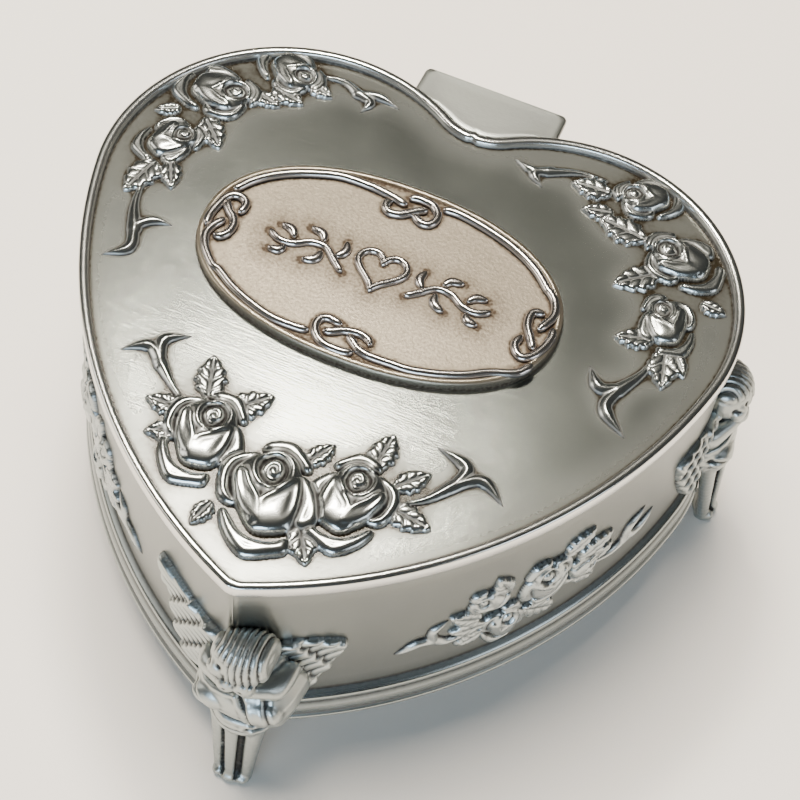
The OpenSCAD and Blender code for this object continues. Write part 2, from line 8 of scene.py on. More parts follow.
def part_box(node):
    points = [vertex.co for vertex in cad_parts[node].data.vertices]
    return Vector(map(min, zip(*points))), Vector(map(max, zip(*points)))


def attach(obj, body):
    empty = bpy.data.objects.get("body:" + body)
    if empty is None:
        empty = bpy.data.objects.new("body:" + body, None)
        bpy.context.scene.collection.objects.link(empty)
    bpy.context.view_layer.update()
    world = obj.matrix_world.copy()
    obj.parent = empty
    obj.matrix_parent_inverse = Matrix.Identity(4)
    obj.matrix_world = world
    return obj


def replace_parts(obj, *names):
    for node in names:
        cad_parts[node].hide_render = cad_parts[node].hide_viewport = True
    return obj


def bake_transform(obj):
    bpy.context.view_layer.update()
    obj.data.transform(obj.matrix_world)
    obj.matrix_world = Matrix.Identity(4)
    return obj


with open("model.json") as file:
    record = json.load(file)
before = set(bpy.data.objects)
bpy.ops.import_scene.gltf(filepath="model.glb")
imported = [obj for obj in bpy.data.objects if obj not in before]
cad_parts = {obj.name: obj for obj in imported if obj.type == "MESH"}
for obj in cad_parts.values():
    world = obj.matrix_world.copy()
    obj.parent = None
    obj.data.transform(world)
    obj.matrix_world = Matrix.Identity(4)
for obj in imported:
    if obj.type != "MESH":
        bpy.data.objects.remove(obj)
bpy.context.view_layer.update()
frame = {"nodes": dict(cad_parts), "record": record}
mm = 0.001

# what a user would change first, in millimetres
box = {
    "lidWidth": 100.0, "lidLength": 95.2, "rimTop": 48.0, "lidEdge": 2.4, "rimWidth": 1.5,
    "fieldDrop": 1.0, "fieldDome": 0.55, "footHeight": 9.8, "mouldHeight": 5.8,
    "wallTopInset": 0.75, "wallFootInset": 2.15,
}

# the heart is six arcs: two flanks, two lobes and the notch between them, from the lid's width and length
lobeR = 0.2933 * box["lidWidth"]
lobeX = box["lidWidth"] / 2 - lobeR
lobeY = box["lidLength"] / 2 - lobeR
tipY = -box["lidLength"] / 2
notchR = 0.0866 * box["lidWidth"]
flankR = 0.8304 * box["lidWidth"]
notchY = lobeY + math.sqrt((lobeR + notchR) ** 2 - lobeX ** 2)
flankD = math.hypot(lobeX, lobeY - tipY)
flankS = (flankD ** 2 + flankR ** 2 - (flankR - lobeR) ** 2) / (2 * flankD)
flankH = math.sqrt(flankR ** 2 - flankS ** 2)
flankX = (flankS * lobeX - flankH * (lobeY - tipY)) / flankD
flankY = tipY + (flankS * (lobeY - tipY) + flankH * lobeX) / flankD
flankA = math.atan2(lobeY - flankY, lobeX - flankX)
notchA = math.atan2(notchY - lobeY, -lobeX)


# points on an arc from angle a0 to a1: centre + r (cos t, sin t)
def arcPoints(cx, cy, r, a0, a1, n):
    t = np.linspace(a0, a1, n)
    return np.c_[cx + r * np.cos(t), cy + r * np.sin(t)]


# the closed heart at a distance off, n points for flank, lobe and half notch; soften rounds the tip
def heartLine(off, n, soften=0.5):
    tip = flankY - math.sqrt((flankR + off) ** 2 - flankX ** 2)
    a0 = math.atan2(tip - flankY, -flankX)
    u = np.linspace(0, 1, n[0]) ** 1.5
    flank = np.c_[flankX + (flankR + off) * np.cos(a0 + (flankA - a0) * u),
                  flankY + (flankR + off) * np.sin(a0 + (flankA - a0) * u)]
    lobe = arcPoints(lobeX, lobeY, lobeR + off, flankA, notchA, n[1])[1:]
    notch = arcPoints(0, notchY, notchR - off, notchA - math.pi, -math.pi / 2, n[2])[1:]
    half = np.vstack([flank, lobe, notch])
    # the tip is rounded: y is lifted by a little bell that fades with |x|
    half[:, 1] += soften * 0.55 * np.exp(-(half[:, 0] / (soften * 1.1 + 1e-6)) ** 2)
    other = half[-2:0:-1] * np.array([-1.0, 1.0])
    return np.vstack([half, other])


# a mesh from points in millimetres; it rides on the body, or on none when no body is given
def newMesh(name, verts, faces, body, material, smooth=True, sharp=None):
    mesh = bpy.data.meshes.new(name)
    mesh.from_pydata((np.asarray(verts, float) * mm).tolist(), [], faces)
    mesh.validate()
    obj = bpy.data.objects.new(name, mesh)
    bpy.context.scene.collection.objects.link(obj)
    mesh.polygons.foreach_set("use_smooth", [smooth] * len(mesh.polygons))
    if sharp:
        mesh.set_sharp_from_angle(angle=math.radians(sharp))
    mesh.materials.append(material)
    if body:
        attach(obj, body)
    return obj


# quads of a grid of rows by cols points, wrapped round where asked
def gridFaces(rows, cols, closeRows=False, closeCols=False):
    r = np.arange(rows if closeRows else rows - 1)
    c = np.arange(cols if closeCols else cols - 1)
    rr, cc = np.meshgrid(r, c, indexing="ij")
    r2, c2 = (rr + 1) % rows, (cc + 1) % cols
    q = np.stack([rr * cols + cc, rr * cols + c2, r2 * cols + c2, r2 * cols + cc], -1)
    return q.reshape(-1, 4).tolist()


# one number for every point of a mesh
def addFloat(obj, name, values):
    layer = obj.data.attributes.new(name, "FLOAT", "POINT")
    layer.data.foreach_set("value", np.asarray(values, np.float32).ravel())


# 0 below a, 1 above b, 3t^2 - 2t^3 between
def smoothstep(a, b, x):
    t = np.clip((x - a) / (b - a), 0, 1)
    return t * t * (3 - 2 * t)


# box blur repeated three times, close to a gaussian of the given radius in cells
def blurred(h, radius):
    k = max(1, int(round(radius)))
    out = h.astype(np.float64)
    for _ in range(3):
        for axis in (0, 1):
            pad = [(0, 0), (0, 0)]
            pad[axis] = (k + 1, k)
            c = np.cumsum(np.pad(out, pad, mode="edge"), axis=axis)
            n = out.shape[axis]
            hi = np.take(c, np.arange(2 * k + 1, 2 * k + 1 + n), axis=axis)
            lo = np.take(c, np.arange(0, n), axis=axis)
            out = (hi - lo) / (2 * k + 1)
    return out


def nodeMaterial(name):
    m = bpy.data.materials.new(name)
    m.use_nodes = True
    nt = m.node_tree
    return m, nt, nt.nodes["Principled BSDF"]


def addNode(nt, kind, **props):
    n = nt.nodes.new(kind)
    for k, v in props.items():
        setattr(n, k, v)
    return n


def noiseNode(nt, place, scale, detail=2):
    n = addNode(nt, "ShaderNodeTexNoise")
    n.inputs["Scale"].default_value = scale
    n.inputs["Detail"].default_value = detail
    nt.links.new(place, n.inputs["Vector"])
    return n


# antiqued cast metal: bright on the high parts, dark patina where the attribute says so, fine casting grain
def castMetal(name, light, dark, rough, roughDark, grain, grainScale, wear, streak):
    m, nt, bsdf = nodeMaterial(name)
    tc = addNode(nt, "ShaderNodeTexCoord")
    att = addNode(nt, "ShaderNodeAttribute", attribute_name="patina")
    fine = noiseNode(nt, tc.outputs["Object"], grainScale, 6)
    broad = noiseNode(nt, tc.outputs["Object"], 90, 5)
    # patina = attribute * (1 + wear * (fine noise - 0.5))
    cloud = addNode(nt, "ShaderNodeMath", operation="MULTIPLY_ADD")
    nt.links.new(fine.outputs["Fac"], cloud.inputs[0])
    cloud.inputs[1].default_value = wear
    cloud.inputs[2].default_value = 1 - wear * 0.5
    fac = addNode(nt, "ShaderNodeMath", operation="MULTIPLY", use_clamp=True)
    nt.links.new(att.outputs["Fac"], fac.inputs[0])
    nt.links.new(cloud.outputs[0], fac.inputs[1])
    tone = addNode(nt, "ShaderNodeMix", data_type="RGBA")
    tone.inputs["A"].default_value = (light[0] * 0.9, light[1] * 0.9, light[2] * 0.92, 1)
    tone.inputs["B"].default_value = (light[0] * 1.06, light[1] * 1.06, light[2] * 1.04, 1)
    nt.links.new(broad.outputs["Fac"], tone.inputs["Factor"])
    mix = addNode(nt, "ShaderNodeMix", data_type="RGBA")
    nt.links.new(fac.outputs[0], mix.inputs["Factor"])
    nt.links.new(tone.outputs["Result"], mix.inputs["A"])
    mix.inputs["B"].default_value = (*dark, 1)
    nt.links.new(mix.outputs["Result"], bsdf.inputs["Base Color"])
    rr = addNode(nt, "ShaderNodeMapRange")
    rr.inputs["To Min"].default_value = rough
    rr.inputs["To Max"].default_value = roughDark
    nt.links.new(fac.outputs[0], rr.inputs["Value"])
    vary = addNode(nt, "ShaderNodeMath", operation="MULTIPLY_ADD")
    nt.links.new(broad.outputs["Fac"], vary.inputs[0])
    vary.inputs[1].default_value = 0.07
    nt.links.new(rr.outputs["Result"], vary.inputs[2])
    shift = addNode(nt, "ShaderNodeMath", operation="SUBTRACT")
    nt.links.new(vary.outputs[0], shift.inputs[0])
    shift.inputs[1].default_value = 0.035
    nt.links.new(shift.outputs[0], bsdf.inputs["Roughness"])
    metal = addNode(nt, "ShaderNodeMapRange")
    metal.inputs["To Min"].default_value = 1.0
    metal.inputs["To Max"].default_value = 0.35
    nt.links.new(fac.outputs[0], metal.inputs["Value"])
    nt.links.new(metal.outputs["Result"], bsdf.inputs["Metallic"])
    bump = addNode(nt, "ShaderNodeBump")
    bump.inputs["Strength"].default_value = grain
    bump.inputs["Distance"].default_value = 0.0001
    if streak:
        # brushing: noise stretched along one direction
        stretch = addNode(nt, "ShaderNodeMapping")
        stretch.inputs["Scale"].default_value = (160, 5200, 400)
        stretch.inputs["Rotation"].default_value = (0, 0, math.radians(12))
        nt.links.new(tc.outputs["Object"], stretch.inputs["Vector"])
        brushed = noiseNode(nt, stretch.outputs["Vector"], 1, 3)
        add = addNode(nt, "ShaderNodeMath", operation="MULTIPLY_ADD")
        nt.links.new(brushed.outputs["Fac"], add.inputs[0])
        add.inputs[1].default_value = streak
        nt.links.new(fine.outputs["Fac"], add.inputs[2])
        nt.links.new(add.outputs[0], bump.inputs["Height"])
    else:
        nt.links.new(fine.outputs["Fac"], bump.inputs["Height"])
    nt.links.new(bump.outputs["Normal"], bsdf.inputs["Normal"])
    return m


# clean and patina colours, a roughness for each, casting grain, its scale, patchiness, brushing
finishes = {
    "pewter plain": ((0.46, 0.46, 0.435), (0.2, 0.2, 0.18), 0.3, 0.5, 0.1, 1600, 0.4, 0.0),
    "pewter wall": ((0.245, 0.255, 0.24), (0.04, 0.036, 0.03), 0.3, 0.5, 0.1, 1600, 0.5, 1.2),
    "pewter flank": ((0.42, 0.45, 0.445), (0.012, 0.011, 0.01), 0.27, 0.5, 0.08, 1500, 0.35, 0.0),
    "pewter leaf": ((0.44, 0.45, 0.42), (0.05, 0.045, 0.035), 0.36, 0.55, 0.14, 1500, 0.5, 0.6),
    "pewter figure": ((0.44, 0.465, 0.445), (0.018, 0.017, 0.015), 0.34, 0.55, 0.1, 1500, 0.4, 0.0),
    "pewter moulding": ((0.33, 0.355, 0.345), (0.035, 0.033, 0.028), 0.22, 0.5, 0.08, 1600, 0.4, 0.0),
    "pewter bright": ((0.8, 0.79, 0.75), (0.035, 0.033, 0.028), 0.2, 0.55, 0.08, 1800, 0.4, 0.0),
    "pewter satin": ((0.34, 0.355, 0.325), (0.02, 0.015, 0.008), 0.215, 0.235, 0.1, 1600, 0.5, 1.4),
    "pewter relief": ((0.6, 0.61, 0.585), (0.012, 0.011, 0.01), 0.25, 0.5, 0.07, 1500, 0.35, 0.0),
    "plaque metal": ((0.5, 0.43, 0.33), (0.05, 0.032, 0.018), 0.3, 0.6, 0.5, 2200, 1.3, 0.0),
    "plaque bright": ((0.78, 0.71, 0.66), (0.04, 0.03, 0.024), 0.22, 0.5, 0.08, 1800, 0.4, 0.0),
    "steel": ((0.68, 0.68, 0.68), (0.2, 0.2, 0.2), 0.24, 0.5, 0.05, 2500, 0.3, 0.6),
    "brass": ((0.83, 0.62, 0.28), (0.2, 0.12, 0.05), 0.25, 0.5, 0.06, 2500, 0.3, 0.5),
    "zinc casting": ((0.62, 0.61, 0.58), (0.2, 0.2, 0.18), 0.42, 0.6, 0.25, 1800, 0.4, 0.0),
}
metals = {name: castMetal(name, *spec) for name, spec in finishes.items()}


# short-pile velvet: dark base with a sheen and a fine noise
def velvetCloth():
    m, nt, bsdf = nodeMaterial("velvet")
    tc = addNode(nt, "ShaderNodeTexCoord")
    n = noiseNode(nt, tc.outputs["Object"], 1400, 4)
    ramp = addNode(nt, "ShaderNodeMix", data_type="RGBA")
    ramp.inputs["A"].default_value = (0.008, 0.009, 0.03, 1)
    ramp.inputs["B"].default_value = (0.03, 0.035, 0.1, 1)
    nt.links.new(n.outputs["Fac"], ramp.inputs["Factor"])
    nt.links.new(ramp.outputs["Result"], bsdf.inputs["Base Color"])
    bsdf.inputs["Roughness"].default_value = 0.95
    bsdf.inputs["Sheen Weight"].default_value = 0.6
    bsdf.inputs["Sheen Roughness"].default_value = 0.35
    bump = addNode(nt, "ShaderNodeBump")
    bump.inputs["Strength"].default_value = 0.5
    bump.inputs["Distance"].default_value = 0.0002
    nt.links.new(n.outputs["Fac"], bump.inputs["Height"])
    nt.links.new(bump.outputs["Normal"], bsdf.inputs["Normal"])
    return m


velvet = velvetCloth()


# painted board of the tray
def paintedBoard():
    m, nt, bsdf = nodeMaterial("tray board")
    tc = addNode(nt, "ShaderNodeTexCoord")
    n = noiseNode(nt, tc.outputs["Object"], 500)
    mix = addNode(nt, "ShaderNodeMix", data_type="RGBA")
    mix.inputs["A"].default_value = (0.012, 0.012, 0.014, 1)
    mix.inputs["B"].default_value = (0.03, 0.03, 0.034, 1)
    nt.links.new(n.outputs["Fac"], mix.inputs["Factor"])
    nt.links.new(mix.outputs["Result"], bsdf.inputs["Base Color"])
    bsdf.inputs["Roughness"].default_value = 0.6
    return m


trayBoard = paintedBoard()


# smooth closed outline through the given points (Catmull-Rom, k points a span)
def smoothLoop(pts, k=6):
    p = np.asarray(pts, float)[:, None, :]
    a, c, d = np.roll(p, 1, 0), np.roll(p, -1, 0), np.roll(p, -2, 0)
    t = np.linspace(0, 1, k, endpoint=False)[None, :, None]
    q = 0.5 * (2 * p + (c - a) * t + (2 * a - 5 * p + 4 * c - d) * t ** 2 + (3 * p - a - 3 * c + d) * t ** 3)
    return q.reshape(-1, 2)


# the same for an open path, with its ends carried straight on
def smoothPath(pts, k=8):
    p = np.asarray(pts, float)
    p = np.vstack([2 * p[0] - p[1], p, 2 * p[-1] - p[-2]])
    a, b, c, d = p[:-3, None], p[1:-2, None], p[2:-1, None], p[3:, None]
    t = np.linspace(0, 1, k, endpoint=False)[None, :, None]
    q = 0.5 * (2 * b + (c - a) * t + (2 * a - 5 * b + 4 * c - d) * t ** 2 + (3 * b - a - 3 * c + d) * t ** 3)
    return np.vstack([q.reshape(-1, p.shape[1]), p[-2]])


# distance to a chain of segments, and the share of its length at the nearest place
def pathDistance(x, y, path):
    a, b = path[:-1], path[1:]
    e = b - a
    lens = np.hypot(e[:, 0], e[:, 1])
    start = np.r_[0, np.cumsum(lens)]
    best = np.full(x.shape, 1e9)
    share = np.zeros(x.shape)
    for i in range(len(a)):
        t = np.clip(((x - a[i, 0]) * e[i, 0] + (y - a[i, 1]) * e[i, 1]) / (lens[i] ** 2 + 1e-12), 0, 1)
        d = np.hypot(x - a[i, 0] - t * e[i, 0], y - a[i, 1] - t * e[i, 1])
        near = d < best
        best = np.where(near, d, best)
        share = np.where(near, (start[i] + t * lens[i]) / start[-1], share)
    return best, share


# distance to a closed outline, positive inside it
def insideDistance(x, y, loop):
    ring = np.vstack([loop, loop[:1]])
    d, _ = pathDistance(x, y, ring)
    inside = np.zeros(x.shape, bool)
    for (x0, y0), (x1, y1) in zip(ring[:-1], ring[1:]):
        if y0 != y1:
            inside ^= ((y0 > y) != (y1 > y)) & (x < (x1 - x0) * (y - y0) / (y1 - y0) + x0)
    return np.where(inside, d, -d)


# quarter-round edge: 0 at the outline, 1 from r inwards
def pillow(d, r):
    return np.sqrt(np.clip(1 - (1 - np.clip(d / r, 0, 1)) ** 2, 0, 1))


# relief heights are drawn on a flat grid, then laid on the lid or the wall;
# outlines of one rose's petals around its own centre, and the heights of its parts
rose = {
    "boat": [(-5.2, -5.1), (-4.3, -4.4), (-3.0, -5.4), (-1.1, -6.8), (0.9, -7.3), (3.4, -6.8), (5.2, -5.4),
             (6.1, -6.1), (6.2, -7.8), (4.4, -9.1), (2.1, -10.4), (0.4, -10.7), (-1.6, -9.7), (-3.9, -7.6)],
    "right": [(2.8, 4.6), (4.3, 4.6), (6.4, 2.7), (7.9, 0.2), (8.1, -1.9), (6.7, -3.5), (5.1, -3.3),
              (4.7, -1.7), (4.4, 0.7), (3.2, 3.0)],
    "top": [(-3.8, 6.5), (-3.3, 8.0), (-1.4, 9.1), (0.8, 9.2), (3.1, 7.5), (4.3, 6.1), (3.3, 5.2),
            (1.5, 6.2), (-0.4, 6.8), (-2.4, 6.2)],
    "left": [(-7.2, -1.6), (-7.9, 0.8), (-7.5, 3.2), (-5.7, 5.0), (-3.5, 5.9), (-3.8, 4.1), (-5.4, 2.6),
             (-5.7, 0.6), (-5.0, -1.5), (-3.3, -3.3), (-4.5, -3.9), (-6.2, -3.3)],
    "cup": [(-5.8, 0.9), (-5.0, 3.5), (-3.3, 5.4), (-1.2, 6.8), (1.4, 6.5), (3.3, 4.3), (4.7, 0.4),
            (5.1, -3.9), (2.9, -5.8), (0.2, -6.4), (-2.5, -4.4), (-4.4, -2.1)],
    "frontRight": [(-0.5, -2.1), (0.9, 0.4), (3.2, 3.7), (4.8, 0.5), (4.9, -3.4), (2.9, -5.6), (0.8, -5.7)],
    "frontLeft": [(-5.1, -0.2), (-5.4, 2.0), (-3.9, 1.8), (-2.4, 0.1), (-0.3, -1.9), (0.8, -5.0),
                  (-0.9, -4.9), (-3.0, -3.6)],
    "hole": [(-2.7, 2.4), (-2.9, 4.5), (-1.5, 5.9), (0.3, 5.8), (1.6, 4.4), (1.7, 2.4), (0.3, 0.7),
             (-1.3, 0.9)],
    "bud": [(-2.1, 2.3), (-2.0, 4.2), (-0.8, 5.3), (0.7, 4.6), (1.0, 2.9), (-0.1, 1.4)],
    "outerHeight": 1.45, "cupHeight": 2.2, "lip": 0.22,
}


# one rose: pillowed outer petals, a domed cup with two wrapped front petals, a sunk heart with its bud
def roseHeight(u, v, kind):
    h = np.full(u.shape, -9.0)
    for name, thick, r in (("boat", 1.0, 1.5), ("right", 1.0, 1.5), ("top", 0.96, 1.3), ("left", 1.02, 1.5)):
        d = insideDistance(u, v, smoothLoop(rose[name]))
        roll = rose["outerHeight"] * thick * (0.25 + 0.75 * pillow(d, r)) - 0.22 * smoothstep(1.0, 2.2, d)
        h = np.where(d > 0, roll, h)
    d = insideDistance(u, v, smoothLoop(rose["cup"]))
    cupH = 1.0 + (rose["cupHeight"] - 1.0) * pillow(d, 3.4)
    h = np.where(d > 0, cupH, h)
    for k in range(3 + kind % 2):
        x0 = -2.6 + 1.5 * k + 0.2 * kind
        line = smoothPath([(x0, -0.2), (x0 + 0.25, -2.6), (x0 + 0.9, -5.6)])
        g, _ = pathDistance(u, v, line)
        h = np.where(d > 0, h - 0.2 * np.exp(-(g / 0.3) ** 2), h)
    for name, lift in (("frontRight", 0.02), ("frontLeft", 0.12)):
        e = insideDistance(u, v, smoothLoop(rose[name]))
        upper = smoothstep(-4.2, -0.5, v)
        wrap = cupH + lift + 0.18 * pillow(e, 0.7) + rose["lip"] * upper * np.exp(-((e - 0.45) / 0.42) ** 2)
        h = np.where(e > 0, wrap - 0.1 * np.exp(-((e - 1.3) / 0.4) ** 2) * upper, h)
    e = insideDistance(u, v, smoothLoop(rose["hole"]))
    h = np.where(e > 0, np.minimum(h, cupH - 1.25 * smoothstep(0, 0.5, e)), h)
    ring = (rose["lip"] + 0.1) * np.exp(-((e + 0.5) / 0.4) ** 2)
    h = np.where((e <= 0) & (e > -1.6) & (v > 0.2), h + ring, h)
    e = insideDistance(u, v, smoothLoop(rose["bud"]))
    bud = 1.35 + 0.85 * pillow(e, 1.2)
    t = np.linspace(0, 2.4 * math.pi, 40)
    turn = (-1) ** kind
    coil = np.c_[-0.45 + turn * (0.3 + 0.16 * t) * np.cos(t), 3.3 + (0.3 + 0.19 * t) * np.sin(t)]
    g, _ = pathDistance(u, v, coil)
    bud = bud - 0.42 * np.exp(-(g / 0.2) ** 2)
    return np.where(e > 0, bud, h)


# a serrated leaf from base to tip: two convex halves, engraved midrib and side veins
def leafHeight(u, v, length, tone):
    s = np.clip(u / length, 0, 1)
    saw = np.abs(((s * 4.6 + 0.15 * tone) % 1) - 0.25)
    w = 0.3 * length * np.sin(math.pi * s ** 0.78) ** 0.85 * (1.14 - 0.42 * saw) + 0.03
    a = np.abs(v)
    inside = (u > 0) & (u < length) & (a < w)
    h = 0.42 + 0.42 * pillow((w - a), 0.34) + 0.12 * np.sin(np.clip(a / w, 0, 1) * math.pi)
    h = h - 0.4 * np.exp(-(a / 0.15) ** 2) * smoothstep(1.02, 0.85, s)
    vein = np.abs(((s * 4.3 - a / length * 3.2) % 1) - 0.5)
    h = h - 0.22 * np.exp(-(vein / 0.13) ** 2) * smoothstep(0.05, 0.3, a)
    return np.where(inside, h, -9.0)


# a horn of tendril with a ridged back; widths at its start, middle and end
def hornHeight(x, y, path, widths, height):
    d, s = pathDistance(x, y, path)
    start, middle, end = widths
    w = np.interp(s, (0, 0.15, 0.55, 1), (start, 0.7 * start + 0.3 * middle, middle, end))
    ridge = 0.3 + 0.7 * (1 - np.clip(d / w, 0, 1) ** 1.25)
    return np.where(d < w, height * ridge * (0.45 + 0.55 * np.clip(w / 1.1, 0, 1)), -9.0)


# a whole spray: tendrils lowest, then leaves, then roses over them
def sprayHeight(spec, x, y):
    h = np.full(x.shape, -9.0)
    for pts, widths in spec["horns"]:
        h = np.maximum(h, hornHeight(x, y, smoothPath(pts), widths, 0.95))
    for i, (bx, by, tx, ty) in enumerate(spec["leaves"]):
        length = math.hypot(tx - bx, ty - by)
        c, s = (tx - bx) / length, (ty - by) / length
        u, v = (x - bx) * c + (y - by) * s, -(x - bx) * s + (y - by) * c
        near = (u > -0.5) & (u < length + 0.5) & (np.abs(v) < length * 0.6)
        g = np.full(x.shape, -9.0)
        g[near] = leafHeight(u[near], v[near], length, i)
        h = np.where(g > 0, g, h)
    for i, (cx, cy, size, turn, flip) in enumerate(spec["roses"]):
        c, s = math.cos(math.radians(turn)), math.sin(math.radians(turn))
        u, v = ((x - cx) * c + (y - cy) * s) / size, (-(x - cx) * s + (y - cy) * c) / size
        u = -u if flip else u
        near = (np.abs(u) < 9.6) & (v > -12) & (v < 10.6)
        g = np.full(x.shape, -9.0)
        g[near] = roseHeight(u[near], v[near], i) * (0.35 + 0.65 * size)
        h = np.where(g > -1, np.maximum(g, 0.2), h)
    return h


# roses are (x, y, size, turn, mirrored), leaves (base x, y, tip x, y), horns a path with three widths
sprays = {
    "rose_spray_front": {
        "window": (-32.5, 30.0, -43.5, -9.5), "cell": 0.155,
        "roses": [(-13.9, -26.0, 0.86, -14, False), (9.0, -27.4, 0.86, 10, True),
                  (-1.8, -31.3, 1.0, 0, False)],
        "leaves": [(-18.2, -23.5, -24.2, -23.6), (-16.4, -26.2, -22.0, -29.0), (-16.0, -20.2, -18.3, -12.9),
                   (-12.6, -21.2, -7.4, -15.8), (1.0, -24.4, 3.6, -19.6), (9.9, -21.3, 10.3, -14.4),
                   (13.6, -22.9, 17.6, -18.4), (14.2, -26.2, 21.0, -27.0), (3.8, -33.2, 7.6, -39.6),
                   (-8.2, -35.4, -9.6, -40.2)],
        "horns": [([(-18.4, -22.4), (-21.6, -20.2), (-24.9, -17.2)], (0.35, 0.75, 1.25)),
                  ([(-24.3, -17.9), (-27.3, -15.3), (-31.0, -17.6)], (1.0, 1.15, 0.12)),
                  ([(-24.6, -17.9), (-26.0, -13.7), (-22.6, -11.2)], (1.0, 1.15, 0.12)),
                  ([(14.6, -25.6), (18.4, -22.6), (21.1, -18.8)], (0.35, 0.75, 1.25)),
                  ([(20.8, -19.6), (21.6, -15.4), (16.4, -13.8)], (1.0, 1.2, 0.12)),
                  ([(20.6, -19.4), (24.3, -16.4), (28.6, -19.0)], (1.0, 1.15, 0.12))],
    },
    "rose_spray_right": {
        "window": (5.5, 48.0, -2.0, 47.0), "cell": 0.155,
        "roses": [(27.9, 41.6, 0.56, 92, False), (38.6, 20.8, 0.6, 46, True), (36.6, 32.6, 0.7, 62, False)],
        "leaves": [(23.0, 40.0, 16.4, 39.6), (30.6, 33.9, 22.6, 34.9), (34.6, 28.9, 28.8, 23.9),
                   (38.0, 17.0, 32.2, 15.2), (40.0, 16.4, 41.8, 9.2), (41.2, 16.2, 44.2, 12.6),
                   (41.8, 26.6, 46.2, 26.2), (24.6, 36.6, 19.6, 35.4)],
        "horns": [([(21.4, 42.2), (17.0, 41.8), (12.6, 39.9)], (0.35, 0.7, 1.05)),
                  ([(13.0, 40.0), (10.2, 39.2), (7.0, 40.2)], (0.95, 0.9, 0.12)),
                  ([(13.0, 40.4), (10.9, 38.7), (12.9, 36.7)], (0.95, 0.95, 0.12)),
                  ([(39.2, 15.0), (38.4, 10.8), (36.2, 6.4)], (0.35, 0.8, 1.3)),
                  ([(36.5, 7.0), (33.6, 5.8), (31.0, 8.8)], (1.0, 1.15, 0.12)),
                  ([(36.5, 7.2), (35.6, 2.8), (39.9, -0.9)], (1.0, 1.2, 0.12))],
    },
    "rose_spray_left": {
        "window": (-48.0, -11.5, -4.0, 47.0), "cell": 0.155,
        "roses": [(-41.0, 20.6, 0.58, -58, False), (-29.9, 41.0, 0.6, -92, True),
                  (-38.3, 32.4, 0.7, -66, True)],
        "leaves": [(-41.2, 16.0, -43.2, 8.6), (-39.4, 16.9, -36.9, 11.9), (-38.4, 26.9, -33.6, 22.0),
                   (-33.4, 34.8, -28.8, 33.6), (-27.0, 40.2, -22.4, 38.8), (-42.2, 27.0, -46.0, 25.0),
                   (-31.6, 37.0, -25.8, 35.6)],
        "horns": [([(-41.4, 12.0), (-40.6, 7.2), (-38.6, 2.8)], (0.35, 0.8, 1.3)),
                  ([(-38.9, 3.4), (-37.8, -0.6), (-41.0, -3.4)], (1.0, 1.1, 0.12)),
                  ([(-39.0, 3.2), (-36.9, 5.4), (-33.8, 5.9)], (1.0, 0.95, 0.12)),
                  ([(-26.4, 42.2), (-22.2, 42.9), (-19.0, 41.5)], (0.35, 0.7, 1.05)),
                  ([(-19.4, 41.6), (-16.9, 40.6), (-17.6, 38.2)], (0.95, 0.9, 0.12)),
                  ([(-19.4, 41.4), (-16.2, 42.4), (-12.4, 41.5)], (0.95, 0.9, 0.12))],
    },
}

# the flank's spray, drawn on the wall unrolled from the tip: distance along it and height
flankSpray = {
    "window": (22.5, 71.0, 15.8, 38.5), "cell": 0.17,
    "roses": [(54.4, 26.6, 0.4, -60, True), (37.2, 31.2, 0.4, 40, False), (40.6, 22.6, 0.52, -20, False),
              (47.2, 29.6, 0.62, 24, True)],
    "leaves": [(36.6, 26.6, 31.4, 29.6), (37.4, 24.6, 31.6, 25.0), (37.4, 22.6, 33.0, 20.4),
               (44.0, 23.4, 50.2, 19.4), (50.0, 33.6, 55.2, 36.8), (53.0, 29.8, 59.6, 31.6),
               (55.2, 26.6, 60.4, 27.4), (52.6, 25.8, 57.4, 21.4), (40.6, 31.4, 38.4, 36.4)],
    "horns": [([(35.2, 23.0), (31.4, 22.8), (28.9, 24.6)], (0.4, 0.9, 1.15)),
              ([(29.3, 24.2), (26.8, 24.4), (23.6, 22.4)], (1.1, 0.95, 0.12)),
              ([(29.3, 24.2), (29.2, 27.0), (31.4, 28.8)], (1.05, 0.9, 0.12)),
              ([(56.6, 24.6), (60.6, 23.6), (64.0, 24.6)], (0.4, 0.8, 1.1)),
              ([(63.4, 24.4), (66.6, 24.0), (70.2, 25.8)], (1.0, 0.9, 0.12)),
              ([(63.2, 24.4), (64.2, 27.6), (67.4, 29.4)], (1.0, 0.9, 0.12))],
}


# the flat grid over a spray's window
def reliefGrid(spec):
    x0, x1, y0, y1 = spec["window"]
    nx, ny = int((x1 - x0) / spec["cell"]) + 1, int((y1 - y0) / spec["cell"]) + 1
    return np.meshgrid(np.linspace(x0, x1, nx), np.linspace(y0, y1, ny))


# patina gathers where the surface lies under its own average, and along the foot of the relief
def cavityPatina(h, fine, wide):
    g = np.clip(h, 0, 9)
    low = 1.5 * (blurred(g, fine) - g) / 0.3 + 0.75 * (blurred(g, wide) - g) / 0.6
    foot = 0.85 * (1 - smoothstep(0.1, 0.5, g))
    return np.clip(np.clip(low, 0, 1) + foot, 0, 1)


# the part of a height grid that is above keep, laid where place says
def reliefMesh(name, x, y, h, keep, place, patina, body, material):
    live = h > keep
    quad = live[:-1, :-1] | live[1:, :-1] | live[:-1, 1:] | live[1:, 1:]
    used = np.zeros(h.shape, bool)
    for a, b in ((0, 0), (1, 0), (0, 1), (1, 1)):
        used[a:h.shape[0] - 1 + a, b:h.shape[1] - 1 + b] |= quad
    index = np.full(h.shape, -1)
    index[used] = np.arange(used.sum())
    i, j = np.nonzero(quad)
    faces = np.stack([index[i, j], index[i, j + 1], index[i + 1, j + 1], index[i + 1, j]], -1).tolist()
    obj = newMesh(name, place(x[used], y[used], h[used]), faces, body, material)
    addFloat(obj, "patina", patina[used])
    return obj


